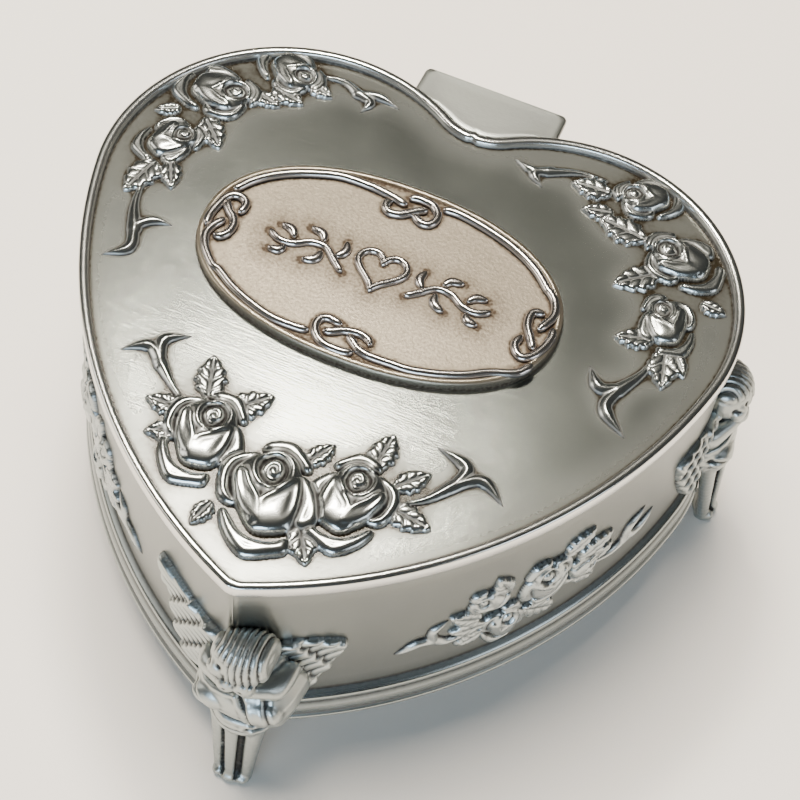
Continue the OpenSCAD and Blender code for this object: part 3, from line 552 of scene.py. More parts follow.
# the lid's field: a shallow dome inside the rim
def fieldZ(x, y):
    return box["rimTop"] - box["fieldDrop"] - 0.28 + box["fieldDome"] * (1 - (x ** 2 + y ** 2) / 48 ** 2)


# a relief height on the field, sunk a little below it at the edge
def onField(x, y, h):
    return np.c_[x, y, fieldZ(x, y) + np.maximum(0.87 * h, -0.4)]


print("lid relief")
lidCell = 0.26
fieldX, fieldY = np.meshgrid(np.arange(-50, 50.01, lidCell), np.arange(-48, 48.01, lidCell))
reliefOnLid = np.zeros(fieldX.shape)
for name, spec in sprays.items():
    gx, gy = reliefGrid(spec)
    h = sprayHeight(spec, gx, gy)
    drawn = h > 0
    h = np.where(drawn, h, -0.5)
    h = 0.35 * h + 0.65 * blurred(h, 1)
    obj = reliefMesh(name + "_relief", gx, gy, h, -0.42, onField, cavityPatina(h, 2, 6), "lid",
                     metals["pewter relief"])
    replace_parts(obj, name)
    x0, x1, y0, y1 = spec["window"]
    cx = np.round((fieldX - x0) / (x1 - x0) * (gx.shape[1] - 1)).astype(int)
    cy = np.round((fieldY - y0) / (y1 - y0) * (gx.shape[0] - 1)).astype(int)
    ok = (cx >= 0) & (cx < gx.shape[1]) & (cy >= 0) & (cy < gx.shape[0])
    reliefOnLid[ok] = np.maximum(reliefOnLid[ok], drawn[cy[ok], cx[ok]])


# the oval plate under the plaque's strands: a bevelled edge, a bright line, a groove and a grainy field
plaque = {
    "x": -2.6, "y": 10.1, "a": 27.9, "b": 17.1, "power": 2.2, "thick": 1.55, "sink": 0.28,
    "strand": 0.68, "strandTall": 0.62, "strandInset": 1.75,
}


# a superellipse: a |cos|^e across and b |sin|^e up, with their signs, e = 2 / power
def ovalPoint(deg, a, b):
    t = np.radians(deg)
    e = 2 / plaque["power"]
    return np.stack([plaque["x"] + a * np.sign(np.cos(t)) * np.abs(np.cos(t)) ** e,
                     plaque["y"] + b * np.sign(np.sin(t)) * np.abs(np.sin(t)) ** e], -1)


plateLoop = ovalPoint(np.linspace(0, 360, 181)[:-1], plaque["a"], plaque["b"])

# the two-strand knots, one loop and one hook at each side of the oval
strands = {
    "topHook": [(-5.8, 22.7), (-6.5, 22.0), (-6.3, 21.1), (-5.4, 20.5), (-3.9, 20.8), (-2.7, 21.7),
                (-1.5, 22.7), (-0.3, 23.2)],
    "topLoop": [(-3.8, 24.1), (-2.8, 24.7), (-1.3, 24.7), (0.1, 24.4), (1.2, 23.2), (1.3, 21.8), (0.6, 20.8),
                (-0.5, 20.7), (-1.5, 21.2), (-2.2, 21.4)],
    "bottomLoop": [(-3.5, -1.6), (-4.5, -1.4), (-5.7, -1.2), (-6.7, -1.6), (-7.1, -2.8), (-6.7, -4.1),
                   (-5.7, -5.2), (-4.4, -5.8), (-2.8, -5.9), (-1.4, -5.8), (-0.2, -5.3)],
    "bottomHook": [(-5.7, -3.8), (-4.4, -3.2), (-3.1, -2.4), (-1.8, -2.0), (-0.5, -1.9), (0.6, -2.2),
                   (1.3, -2.8), (1.3, -3.4)],
    "leftLoop": [(-28.9, 6.5), (-29.1, 7.9), (-29.1, 9.3), (-28.8, 10.9), (-28.4, 12.4), (-27.6, 13.4),
                 (-26.4, 13.6), (-25.3, 13.0), (-25.1, 11.9), (-25.4, 10.5)],
    "leftHook": [(-27.8, 12.2), (-27.5, 11.3), (-26.8, 10.4), (-25.8, 9.5), (-25.2, 8.3), (-25.3, 6.8),
                 (-26.0, 5.7), (-27.2, 5.3)],
    "rightHook": [(22.3, 12.7), (21.4, 12.9), (20.6, 12.5), (20.4, 11.5), (20.7, 10.0), (21.5, 8.6),
                  (22.3, 7.4), (22.9, 6.2)],
    "rightLoop": [(24.2, 11.1), (24.6, 9.5), (24.3, 7.7), (23.7, 6.0), (22.8, 4.8), (21.7, 4.4), (20.7, 5.1),
                  (20.2, 6.3), (20.4, 7.3), (20.8, 7.9)],
}
# the long strands between knots: first points, angles on the oval, last points
arcs = {
    "upperLeft": ([(-28.0, 14.3), (-27.3, 15.3), (-26.2, 17.0)], (145, 135, 125, 115),
                  [(-10.0, 23.9), (-7.8, 23.7), (-5.8, 23.4), (-4.4, 23.0), (-3.5, 23.0)]),
    "upperRight": ([(1.5, 24.4), (2.8, 24.7), (4.5, 24.7)], (68, 58, 48, 38, 28),
                   [(21.5, 17.0), (22.6, 15.9), (23.3, 14.5), (23.5, 13.0), (23.0, 11.5), (22.3, 9.8)]),
    "lowerRight": ([(23.8, 3.9), (23.2, 2.6), (22.0, 1.3)], (-38, -48, -58, -68),
                   [(5.3, -4.8), (3.5, -4.9), (1.8, -4.9), (0.2, -4.5), (-1.1, -3.6), (-2.2, -2.9)]),
    "lowerLeft": ([(-7.5, -4.4), (-9.4, -4.7)], (248, 238, 228, 218),
                  [(-24.9, 0.3), (-26.5, 1.9), (-27.6, 3.4), (-28.2, 5.2), (-27.9, 6.8), (-27.3, 7.9),
                   (-26.7, 8.8)]),
}
knotShift = np.array([-0.1, 0.4])
gap = plaque["strandInset"]
paths = {k: smoothPath(np.array(v) + knotShift) for k, v in strands.items()}
for name, (first, degs, last) in arcs.items():
    mid = ovalPoint(np.array(degs, float), plaque["a"] - gap, plaque["b"] - gap)
    paths[name] = smoothPath(np.vstack([np.array(first) + knotShift, mid, np.array(last) + knotShift]))


# the plaque's own ornament: a small heart between leafy stems
def ornamentPaths():
    out = {}
    t = np.linspace(0, 2 * math.pi, 60)
    hx, hy = 16 * np.sin(t) ** 3, 13 * np.cos(t) - 5 * np.cos(2 * t) - 2 * np.cos(3 * t) - np.cos(4 * t)
    out["heart"] = np.c_[hx * 0.235, hy * 0.235 + 0.4]
    for side in (-1, 1):
        stem = [(4.9, -2.6), (6.8, -1.0), (8.8, 0.7), (11.2, 0.6), (13.4, -0.7), (15.6, -0.9), (17.6, 0.2)]
        out["stem%d" % side] = smoothPath(np.array(stem) * np.array([side, 1.0]))
        leaves = [((7.0, -0.4), (5.9, 1.2), (6.3, 3.0)), ((9.4, 1.4), (10.2, 2.8), (12.2, 3.2)),
                  ((9.0, -0.2), (9.4, -1.9), (11.2, -2.9)), ((13.6, 0.2), (14.6, 1.6), (16.4, 1.9)),
                  ((14.2, -1.6), (14.9, -2.7), (16.6, -3.0))]
        for k, pts in enumerate(leaves):
            out["leaf%d_%d" % (k, side)] = smoothPath(np.array(pts) * np.array([side, 1.0]))
    return {k: v + np.array([plaque["x"], plaque["y"]]) for k, v in out.items()}


ornament = ornamentPaths()


# the two end faces of a stack of rings
def endFaces(rows, n):
    return [list(range(n))[::-1], [(rows - 1) * n + k for k in range(n)]]


# 1 up to start, then a bell: e^-((d - start) / reach)^2
def fade(d, start, reach):
    return np.exp(-(np.clip(d - start, 0, 99) / reach) ** 2)


# a strand of metal laid on the plate: an ellipse swept along the path, rounded off to a point at both ends
def strandMesh(name, path, wide, tall, z, body, material, closed=False, tips=1.2, rings=14):
    seg = np.hypot(*np.diff(path, axis=0).T)
    s = np.r_[0, np.cumsum(seg)]
    n = max(12, int(s[-1] / 0.22))
    q = np.linspace(0, s[-1], n, endpoint=not closed)
    p = np.c_[np.interp(q, s, path[:, 0]), np.interp(q, s, path[:, 1])]
    tangent = np.roll(p, -1, 0) - np.roll(p, 1, 0) if closed else np.gradient(p, axis=0)
    tangent /= np.hypot(tangent[:, 0], tangent[:, 1])[:, None] + 1e-9
    side = np.c_[tangent[:, 1], -tangent[:, 0]]
    size = np.ones(n)
    if not closed:
        edge = np.minimum(q, s[-1] - q)
        size = np.maximum(np.sqrt(np.clip(1 - (1 - np.clip(edge / tips, 0, 1)) ** 2, 0, 1)), 0.02)
    phi = np.linspace(0, 2 * math.pi, rings, endpoint=False)
    a = (np.cos(phi)[None, :] * size[:, None]) * wide
    b = np.sin(phi)[None, :] * tall * (0.55 + 0.45 * size[:, None])
    verts = np.stack([p[:, None, 0] + a * side[:, None, 0], p[:, None, 1] + a * side[:, None, 1],
                      np.broadcast_to(z, (n,))[:, None] + b], -1).reshape(-1, 3)
    faces = gridFaces(n, rings, closeRows=closed, closeCols=True)
    if not closed:
        faces += endFaces(n, rings)
    patina = np.clip(0.75 - 1.5 * np.sin(phi), 0, 1)[None, :].repeat(n, 0)
    obj = newMesh(name, verts, faces, body, material)
    addFloat(obj, "patina", patina)
    return obj


# several meshes made into one
def joined(name, objs):
    bpy.ops.object.select_all(action="DESELECT")
    for o in objs:
        o.select_set(True)
    bpy.context.view_layer.objects.active = objs[0]
    bpy.ops.object.join()
    objs[0].name = name
    return objs[0]


print("plaque")
turns = 400
# the rings up the plate's side: inset, height from its top and patina
sideRings = [(-0.06, -1.9, 1.0), (-0.05, -1.25, 0.9), (0.0, -0.6, 0.5), (0.03, -0.27, 0.3),
             (0.1, -0.09, 0.2), (0.2, 0.0, 0.12), (0.32, 0.05, 0.06)]
sideInset, sideHeight, sideDark = np.array(sideRings).T[:, :, None]
inset = np.vstack([sideInset, np.arange(0.45, 17.0, 0.17)[:, None]])
deg = np.linspace(0, 360, turns + 1)[:-1][None, :]
outer = ovalPoint(deg, plaque["a"], plaque["b"])
middle = np.array([plaque["x"], plaque["y"]])
# each ring is the outline drawn in towards the middle
share = 1 - inset / plaque["b"]
plate = middle + (outer - middle) * share[..., None]
px, py = plate[..., 0], plate[..., 1]
edge = np.clip(insideDistance(px, py, plateLoop), 0, 99)
# height = plate + a bead at the edge + a slight swell - the sunk field
h = plaque["thick"] + 0.12 * np.exp(-((edge - 0.62) / 0.3) ** 2) + 0.1 * smoothstep(2.5, 12, edge)
h = h - plaque["sink"] * smoothstep(0.85, 1.25, edge)
h[:len(sideRings)] = plaque["thick"] + sideHeight


# distance from every point of the plate to the nearest of some paths
def nearest(some):
    gaps = [pathDistance(px, py, path[::2])[0] for path in some.values()]
    return np.minimum(np.minimum.reduce(gaps), 9.0)


# patina gathers inside the edge, beside the strands and beside the ornament
nearStrand, nearMark = nearest(paths), nearest(ornament)
dark = 0.95 * fade(edge, 1.0, 1.5) * (edge > 0.95)
dark = np.maximum(dark, 1.1 * fade(nearStrand, 0.5, 0.75))
dark = np.maximum(dark, 0.55 * fade(nearStrand, 0.5, 2.4))
dark = np.maximum(dark, 1.1 * fade(nearMark, 0.45, 0.6))
dark = np.maximum(dark, 0.44 + 0.25 * fade(nearMark, 0.4, 2.2))
dark = np.where((edge > 0.2) & (edge < 0.9), 0.05, dark)
dark[:len(sideRings)] = sideDark
points = np.c_[px.ravel(), py.ravel(), (fieldZ(px, py) + h).ravel()]
faces = gridFaces(len(inset), turns, closeCols=True)
faces.append([(len(inset) - 1) * turns + k for k in range(turns)])
obj = newMesh("plaquePlate", points, faces, "lid", metals["plaque metal"])
addFloat(obj, "patina", np.clip(dark, 0, 1))
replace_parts(obj, "lid_plaque")
strandZ = float(fieldZ(0, 10)) + plaque["thick"] - plaque["sink"] + 0.18
cords = [strandMesh("cord_" + k, v, plaque["strand"], plaque["strandTall"], strandZ, "lid",
                    metals["plaque bright"]) for k, v in paths.items()]
obj = joined("plaqueCord", cords)
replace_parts(obj, "plaque_border")
marks = []
for name, path in ornament.items():
    wide, tips = (0.8, 1.9) if name.startswith("leaf") else (0.6, 1.2)
    marks.append(strandMesh("mark_" + name, path, wide, 0.6, strandZ, "lid",
                            metals["plaque bright"], closed=name == "heart", tips=tips))
obj = joined("plaqueMark", marks)
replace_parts(obj, "plaque_ornament")

print("lid")
rimGap = insideDistance(fieldX, fieldY, heartLine(-box["rimWidth"], (90, 90, 30)))
fieldMask = rimGap > -0.7
plateGap = insideDistance(fieldX, fieldY, plateLoop)
fieldMask &= plateGap < 2.5
around = np.maximum(blurred(reliefOnLid, 2.0), blurred((plateGap > 0) * 1.0, 1.4) * 0.8)
wide = np.maximum(blurred(reliefOnLid, 7), blurred((plateGap > 0) * 1.0, 4) * 0.55)
far = blurred(reliefOnLid, 18)
# patina gathers close to the relief and along the rim, and fades over the open field
patina = 1.15 * smoothstep(0.2, 0.75, around) + 0.62 * smoothstep(0.03, 0.7, wide)
patina = patina + 0.2 * smoothstep(0.0, 0.5, far) + 0.75 * fade(rimGap, 0, 0.42) + 0.5 * fade(rimGap, 0, 3.4)
h = np.where(fieldMask, 0.0, -1.0)
obj = reliefMesh("lidField", fieldX, fieldY, h, -0.5, lambda x, y, q: np.c_[x, y, fieldZ(x, y)],
                 np.clip(patina, 0, 1), "lid", metals["pewter satin"])
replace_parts(obj, "lid_shell")


# a closed ring swept along the heart; each row of its profile is (offset, height, patina)
def heartRing(name, profile, body, material, sharp=None):
    loops = []
    for off, z, _ in profile:
        line = heartLine(off, (150, 170, 50))
        loops.append(np.c_[line, np.full(len(line), z)])
    count = len(loops[0])
    faces = gridFaces(len(loops), count, closeRows=True, closeCols=True)
    obj = newMesh(name, np.vstack(loops), faces, body, material, True, sharp)
    addFloat(obj, "patina", np.repeat([p for _, _, p in profile], count))
    return obj


top, seam = box["rimTop"], box["rimTop"] - box["lidEdge"]
w = box["rimWidth"]
# up the outside, over the rounded top, down to the field and the underside
rim = [(-0.3, seam + 0.02, 0.9), (-0.08, seam + 0.14, 0.35), (0.0, seam + 0.4, 0.12),
       (0.0, top - 0.55, 0.0), (-0.06, top - 0.28, 0), (-0.22, top - 0.1, 0), (-0.45, top - 0.02, 0),
       (-0.8, top, 0), (-1.1, top - 0.05, 0.02), (-1.32, top - 0.18, 0.05), (-w + 0.08, top - 0.36, 0.1),
       (-w, top - 0.7, 0.3), (-w - 0.05, top - 1.05, 0.95), (-w - 0.4, top - 1.7, 1.0),
       (-4.0, top - 2.0, 0.6), (-4.0, seam + 0.02, 0.6)]
obj = heartRing("lidRim", rim, "lid", metals["pewter bright"])
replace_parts(obj, "lid_shell")


# a filled heart plate: rings shrink towards the middle, then one closing face
def heartPlate(name, off, z0, z1, edge, body, material):
    outer = heartLine(off, (60, 70, 20))
    middle = np.array([0.0, 10.0])
    rows = []
    for share, z in [(0.0, z0), (0.985, z0), (1.0, z0 + edge), (1.0, z1 - edge), (0.985, z1)]:
        rows.append(np.c_[middle + (outer - middle) * max(share, 0.02), np.full(len(outer), z)])
    for share in np.linspace(0.96, 0.02, 14):
        rows.append(np.c_[middle + (outer - middle) * share, np.full(len(outer), z1)])
    count = len(outer)
    faces = gridFaces(len(rows), count, closeCols=True) + endFaces(len(rows), count)
    obj = newMesh(name, np.vstack(rows), faces, body, material, True, 35)
    addFloat(obj, "patina", np.full(len(rows) * count, 0.15))
    return obj


under = heartPlate("lidUnderside", -3.6, seam + 0.02, top - 1.8, 0.05, "lid",
                   metals["pewter satin"])
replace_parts(under, "lid_shell")

print("wall and moulding")
foot, mould = box["footHeight"], box["mouldHeight"]
wallTop = seam - 0.12
wallLow, wallHigh, base = -box["wallFootInset"], -box["wallTopInset"], foot + mould
wall = [(-2.6, foot + 0.5, 0.5), (wallLow, base - 0.9, 0.9), (wallLow, base + 0.1, 1.0),
        (wallLow + 0.03, base + 0.7, 0.45), (wallLow + 0.12, base + 3, 0.1),
        (-1.45, (base + wallTop) / 2, 0.05), (-0.95, wallTop - 4, 0.08), (wallHigh, wallTop - 0.5, 0.12),
        (wallHigh - 0.04, wallTop - 0.18, 0.5), (wallHigh - 0.2, wallTop, 0.8),
        (-3.25, wallTop, 0.3), (-3.39, wallTop - 0.15, 0.3), (-3.39, foot + 0.5, 0.3)]
obj = heartRing("wallShell", wall, "case", metals["pewter wall"], sharp=40)
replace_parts(obj, "box_wall")

# the moulding's profile, drawn for a moulding 5.8 tall
ogee = [(-3.2, 0.0, 0.6), (-1.0, 0.0, 0.6), (-0.72, 0.03, 0.3), (-0.52, 0.14, 0.05), (-0.42, 0.34, 0),
        (-0.44, 0.56, 0), (-0.55, 0.78, 0.1), (-0.74, 0.95, 0.6), (-0.86, 1.15, 0.85), (-0.84, 1.4, 0.5),
        (-0.74, 1.75, 0.2), (-0.68, 2.2, 0.1), (-0.74, 2.7, 0.15), (-0.88, 3.15, 0.3), (-1.08, 3.5, 0.7),
        (-1.16, 3.75, 0.9), (-1.12, 4.0, 0.5), (-1.02, 4.25, 0.1), (-1.0, 4.5, 0), (-1.06, 4.75, 0),
        (-1.22, 4.98, 0.05), (-1.5, 5.2, 0.25), (-1.8, 5.38, 0.5), (-2.1, 5.6, 0.9), (-2.3, 5.8, 1.0),
        (-3.2, 5.8, 0.9)]
ogee = [(o, foot + z / 5.8 * mould, p) for o, z, p in ogee]
obj = heartRing("mouldingRing", ogee, "case", metals["pewter moulding"])
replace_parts(obj, "base_moulding")

print("flank sprays")


# the right flank and lobe: running length from the tip, points and outward directions
def wallLine(off):
    line = heartLine(off, (400, 400, 60), 0.01)[:800]
    s = np.r_[0, np.cumsum(np.hypot(*np.diff(line, axis=0).T))]
    tangent = np.gradient(line, axis=0)
    tangent /= np.hypot(tangent[:, 0], tangent[:, 1])[:, None]
    return s, line, np.c_[tangent[:, 1], -tangent[:, 0]]


midInset = 1.5
wallS, wallP, wallN = wallLine(-midInset)


# a place on the wall: s along it from the tip, z up, h out from the drafted face; side is 1 right, -1 left
def onWall(s, z, h, side):
    x, y = np.interp(s, wallS, wallP[:, 0]), np.interp(s, wallS, wallP[:, 1])
    nx, ny = np.interp(s, wallS, wallN[:, 0]), np.interp(s, wallS, wallN[:, 1])
    draft = np.interp(z, (foot + mould, wallTop), (wallLow, wallHigh)) + midInset
    return np.c_[(x + nx * (h + draft)) * side, y + ny * (h + draft), z]


# relief on the wall, counted from start one way or the other and sunk a little at its edge
def onSide(side, start=0.0, way=1):
    return lambda s, z, h: onWall(start + way * s, z, np.maximum(h, -0.4), side)


gx, gy = reliefGrid(flankSpray)
h = sprayHeight(flankSpray, gx, gy)
h = np.where(h > 0, h, -0.45)
h = 0.35 * h + 0.65 * blurred(h, 1)
stain = cavityPatina(h, 2, 5)
for side, name in ((1, "side_spray_right"), (-1, "side_spray_left")):
    if side < 0:
        gx, gy, h, stain = gx[:, ::-1], gy[:, ::-1], h[:, ::-1], stain[:, ::-1]
    obj = reliefMesh(name + "_relief", gx, gy, h, -0.38, onSide(side), stain, "case",
                     metals["pewter flank"])
    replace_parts(obj, name)

print("hinge leaf")
leaf = {"low": 46.5, "top": 47.5, "half": 11.7, "back": 51.0, "corner": 0.9, "bevel": 0.32,
        "axisY": 48.5, "axisZ": 44.2, "knuckle": 2.1, "bore": 0.96, "starts": (-6.9, 2.7), "long": 4.2}


# the bevelled plate over the notch, with two knuckles under it
def hingeLeaf():
    line = heartLine(0, (60, 80, 30))
    front = line[(np.abs(line[:, 0]) <= leaf["half"] + 0.4) & (line[:, 1] > 38)]
    front = front[np.argsort(front[:, 0])] + np.array([0, 0.04])
    c, r = leaf["corner"], leaf["half"] - leaf["corner"]
    outline = np.vstack([front, arcPoints(r, leaf["back"] - c, c, 0, math.pi / 2, 7),
                         arcPoints(-r, leaf["back"] - c, c, math.pi / 2, math.pi, 7)])
    middle, b, low, top = np.array([0.0, 46.6]), leaf["bevel"], leaf["low"], leaf["top"]
    away = outline - middle
    unit = away / np.hypot(*away.T)[:, None]
    # inset, height and patina of the rings up the edge, then shares of the flat top
    rows = [(1.0, low + 0.01, 0.9), (0.3, low + 0.01, 0.8), (0.0, low + 0.3, 0.45), (0.0, top - b, 0.15),
            (b * 0.3, top - b * 0.35, 0.04), (b, top, 0.03), (1.2, top, 0.12), (2.2, top - 0.02, 0.2)]
    shares = (0.55, 0.3, 0.06)
    n = len(outline)
    rings = [np.c_[outline - unit * inset, np.full(n, z)] for inset, z, _ in rows]
    rings += [np.c_[middle + away * share, np.full(n, top - 0.02)] for share in shares]
    faces = gridFaces(len(rings), n, closeCols=True) + endFaces(len(rings), n)
    plate = newMesh("leafPlate", np.vstack(rings), faces, "lid", metals["pewter leaf"], True, 40)
    addFloat(plate, "patina", np.repeat([stain for _, _, stain in rows] + [0.2] * len(shares), n))
    pieces = [plate]
    sides = 48
    turn = np.linspace(0, 2 * math.pi, sides + 1)[:-1]
    for start in leaf["starts"]:
        end, k, hole = start + leaf["long"], leaf["knuckle"], leaf["bore"]
        profile = [(start, hole), (start, k - 0.25), (start + 0.25, k), (end - 0.25, k), (end, k - 0.25),
                   (end, hole)]
        rings = [np.c_[np.full(sides, x), leaf["axisY"] + q * np.cos(turn), leaf["axisZ"] + q * np.sin(turn)]
                 for x, q in profile]
        faces = [f[::-1] for f in gridFaces(len(profile), sides, True, True)]
        tube = newMesh("knuckle", np.vstack(rings), faces, "lid", metals["pewter leaf"], True, 35)
        addFloat(tube, "patina", np.full(len(profile) * sides, 0.2))
        corners = [(x, leaf["axisY"] + y, z) for z in (leaf["axisZ"] + 1.1, low + 0.05)
                   for y in (-1.7, 2.1) for x in (start, end)]
        faces = [(0, 2, 3, 1), (4, 5, 7, 6), (0, 1, 5, 4), (2, 6, 7, 3), (0, 4, 6, 2), (1, 3, 7, 5)]
        web = newMesh("web", corners, faces, "lid", metals["pewter leaf"], False)
        addFloat(web, "patina", np.full(8, 0.3))
        pieces += [tube, web]
    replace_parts(joined("hingeLeaf", pieces), "hinge_leaf")


hingeLeaf()

print("stop spring")
coil = {"turns": 5, "radius": 1.5, "wire": 0.24, "steps": 28, "sides": 10}


# a round wire on a helix from the bottom to the top of the stop spring's box
def stopCoil():
    low, high = (np.array(c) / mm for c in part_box("stop_spring"))
    cx, cy = (low[:2] + high[:2]) / 2
    z0, z1 = low[2] + coil["wire"], high[2] - coil["wire"]
    t = np.linspace(0, 1, coil["turns"] * coil["steps"] + 1)[:, None]
    around = np.linspace(0, 2 * math.pi, coil["sides"] + 1)[None, :-1]
    out = coil["radius"] + coil["wire"] * np.cos(around)
    turn = 2 * math.pi * coil["turns"] * t
    rise = z0 + (z1 - z0) * t + coil["wire"] * np.sin(around)
    pts = np.stack([cx + out * np.cos(turn), cy + out * np.sin(turn), rise], -1)
    n, rows = coil["sides"], len(t)
    faces = gridFaces(rows, n, closeCols=True) + endFaces(rows, n)
    obj = newMesh("stopCoil", pts.reshape(-1, 3), [f[::-1] for f in faces], None, metals["steel"])
    addFloat(obj, "patina", np.zeros(rows * n))
    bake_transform(obj)
    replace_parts(obj, "stop_spring")


stopCoil()

print("cherub feet")
cherub = {
    "shiftFront": 2.4, "lobeAngle": 12.0, "voxel": 0.21,
    # centre (across, out, up) and half sizes
    "balls": [((0.1, 2.3, 32.4), (4.6, 3.6, 4.5)), ((-2.4, 4.4, 31.2), (1.9, 1.3, 2.2)),
              ((-3.1, 4.9, 31.7), (0.6, 0.75, 0.8)), ((-1.0, 4.9, 28.6), (1.6, 1.35, 1.45)),
              ((1.5, 4.7, 28.9), (1.7, 1.35, 1.5)), ((0.6, 0.8, 21.2), (7.9, 4.6, 5.8)),
              ((0.4, 1.7, 17.2), (5.0, 3.9, 4.6)), ((0.1, 0.4, 26.5), (5.4, 3.4, 3.6)),
              ((3.6, 3.4, 22.0), (3.6, 2.3, 2.6)), ((-3.3, 3.3, 21.2), (3.4, 2.2, 2.2)),
              ((0.1, 3.6, 1.25), (2.7, 2.1, 1.25)), ((-1.9, 3.7, 0.95), (1.0, 1.6, 0.95)),
              ((2.1, 3.6, 1.0), (1.1, 1.7, 1.0))],
    # from, to (across, out, up) and the radius at each end
    "rods": [((-5.0, 1.6, 26.6), (-1.4, 4.3, 27.6), 1.9, 1.25),
             ((5.4, 1.4, 26.2), (1.9, 4.2, 27.6), 1.9, 1.3),
             ((-2.9, 2.4, 16.0), (-2.0, 3.5, 1.4), 1.35, 0.95),
             ((-0.1, 3.5, 16.0), (0.1, 4.0, 1.4), 1.6, 1.25),
             ((2.9, 2.6, 16.5), (2.1, 3.5, 1.8), 1.7, 1.05)],
    # engraved lines in the (across, up) plane with their depth
    "folds": [([(-6.2, 24.4), (-3.5, 24.6), (-0.2, 25.2)], 0.45),
              ([(0.4, 25.6), (2.2, 22.4), (3.2, 19.2)], 0.6),
              ([(-6.4, 22.0), (-3.0, 19.6), (2.4, 19.4)], 0.3),
              ([(2.6, 17.6), (4.8, 17.7), (6.8, 18.6)], 0.5),
              ([(-5.2, 18.6), (-1.5, 16.8), (2.6, 16.9)], 0.25),
              ([(4.4, 25.0), (5.6, 22.6), (6.0, 20.6)], 0.3)],
    # eyes, mouth and chin: place, size and depth
    "dimples": [(-1.0, 28.4, 0.5, 0.35), (1.4, 28.7, 0.5, 0.35), (-2.2, 32.7, 0.42, 0.4),
                (-3.9, 32.4, 0.4, 0.35), (-2.7, 29.9, 0.5, 0.22)],
}


# a ball or ellipsoid as points and faces
def ballMesh(centre, half, n=20):
    th = np.linspace(0, math.pi, n // 2 + 1)[1:-1]
    ph = np.linspace(0, 2 * math.pi, n, endpoint=False)
    ring = np.stack([np.outer(np.sin(th), np.cos(ph)), np.outer(np.sin(th), np.sin(ph)),
                     np.outer(np.cos(th), np.ones(n))], -1).reshape(-1, 3)
    v = np.vstack([ring, [[0, 0, 1], [0, 0, -1]]]) * np.array(half) + np.array(centre)
    rows = len(th)
    faces = [f[::-1] for f in gridFaces(rows, n, closeCols=True)]
    top, bottom = rows * n, rows * n + 1
    faces += [[top, k, (k + 1) % n] for k in range(n)]
    faces += [[bottom, (rows - 1) * n + (k + 1) % n, (rows - 1) * n + k] for k in range(n)]
    return v, faces


# joins overlapping balls into one skin, smooths it and returns its points and faces in millimetres
def moulded(parts, voxel, smoothing):
    verts, faces, base = [], [], 0
    for centre, half in parts:
        v, f = ballMesh(centre, half)
        verts.append(v)
        faces += [[k + base for k in q] for q in f]
        base += len(v)
    mesh = bpy.data.meshes.new("moulded")
    mesh.from_pydata((np.vstack(verts) * mm).tolist(), [], faces)
    obj = bpy.data.objects.new("moulded", mesh)
    bpy.context.scene.collection.objects.link(obj)
    skin = obj.modifiers.new("skin", "REMESH")
    skin.mode, skin.voxel_size = "VOXEL", voxel * mm
    ease = obj.modifiers.new("ease", "SMOOTH")
    ease.factor, ease.iterations = 0.5, smoothing
    done = bpy.data.meshes.new_from_object(obj.evaluated_get(bpy.context.evaluated_depsgraph_get()))
    pts = np.empty(len(done.vertices) * 3)
    done.vertices.foreach_get("co", pts)
    normals = np.empty(len(done.vertices) * 3)
    done.vertices.foreach_get("normal", normals)
    edges = np.empty(len(done.edges) * 2, int)
    done.edges.foreach_get("vertices", edges)
    polys = [list(p.vertices) for p in done.polygons]
    bpy.data.objects.remove(obj)
    bpy.data.meshes.remove(mesh)
    bpy.data.meshes.remove(done)
    return pts.reshape(-1, 3) / mm, normals.reshape(-1, 3), edges.reshape(-1, 2), polys


# mean of each point's neighbours
def neighbourMean(values, edges, count):
    total, n = np.zeros((count,) + values.shape[1:]), np.zeros(count)
    for a, b in ((0, 1), (1, 0)):
        np.add.at(total, edges[:, a], values[edges[:, b]])
        np.add.at(n, edges[:, a], 1)
    return total / np.maximum(n, 1).reshape((-1,) + (1,) * (values.ndim - 1))


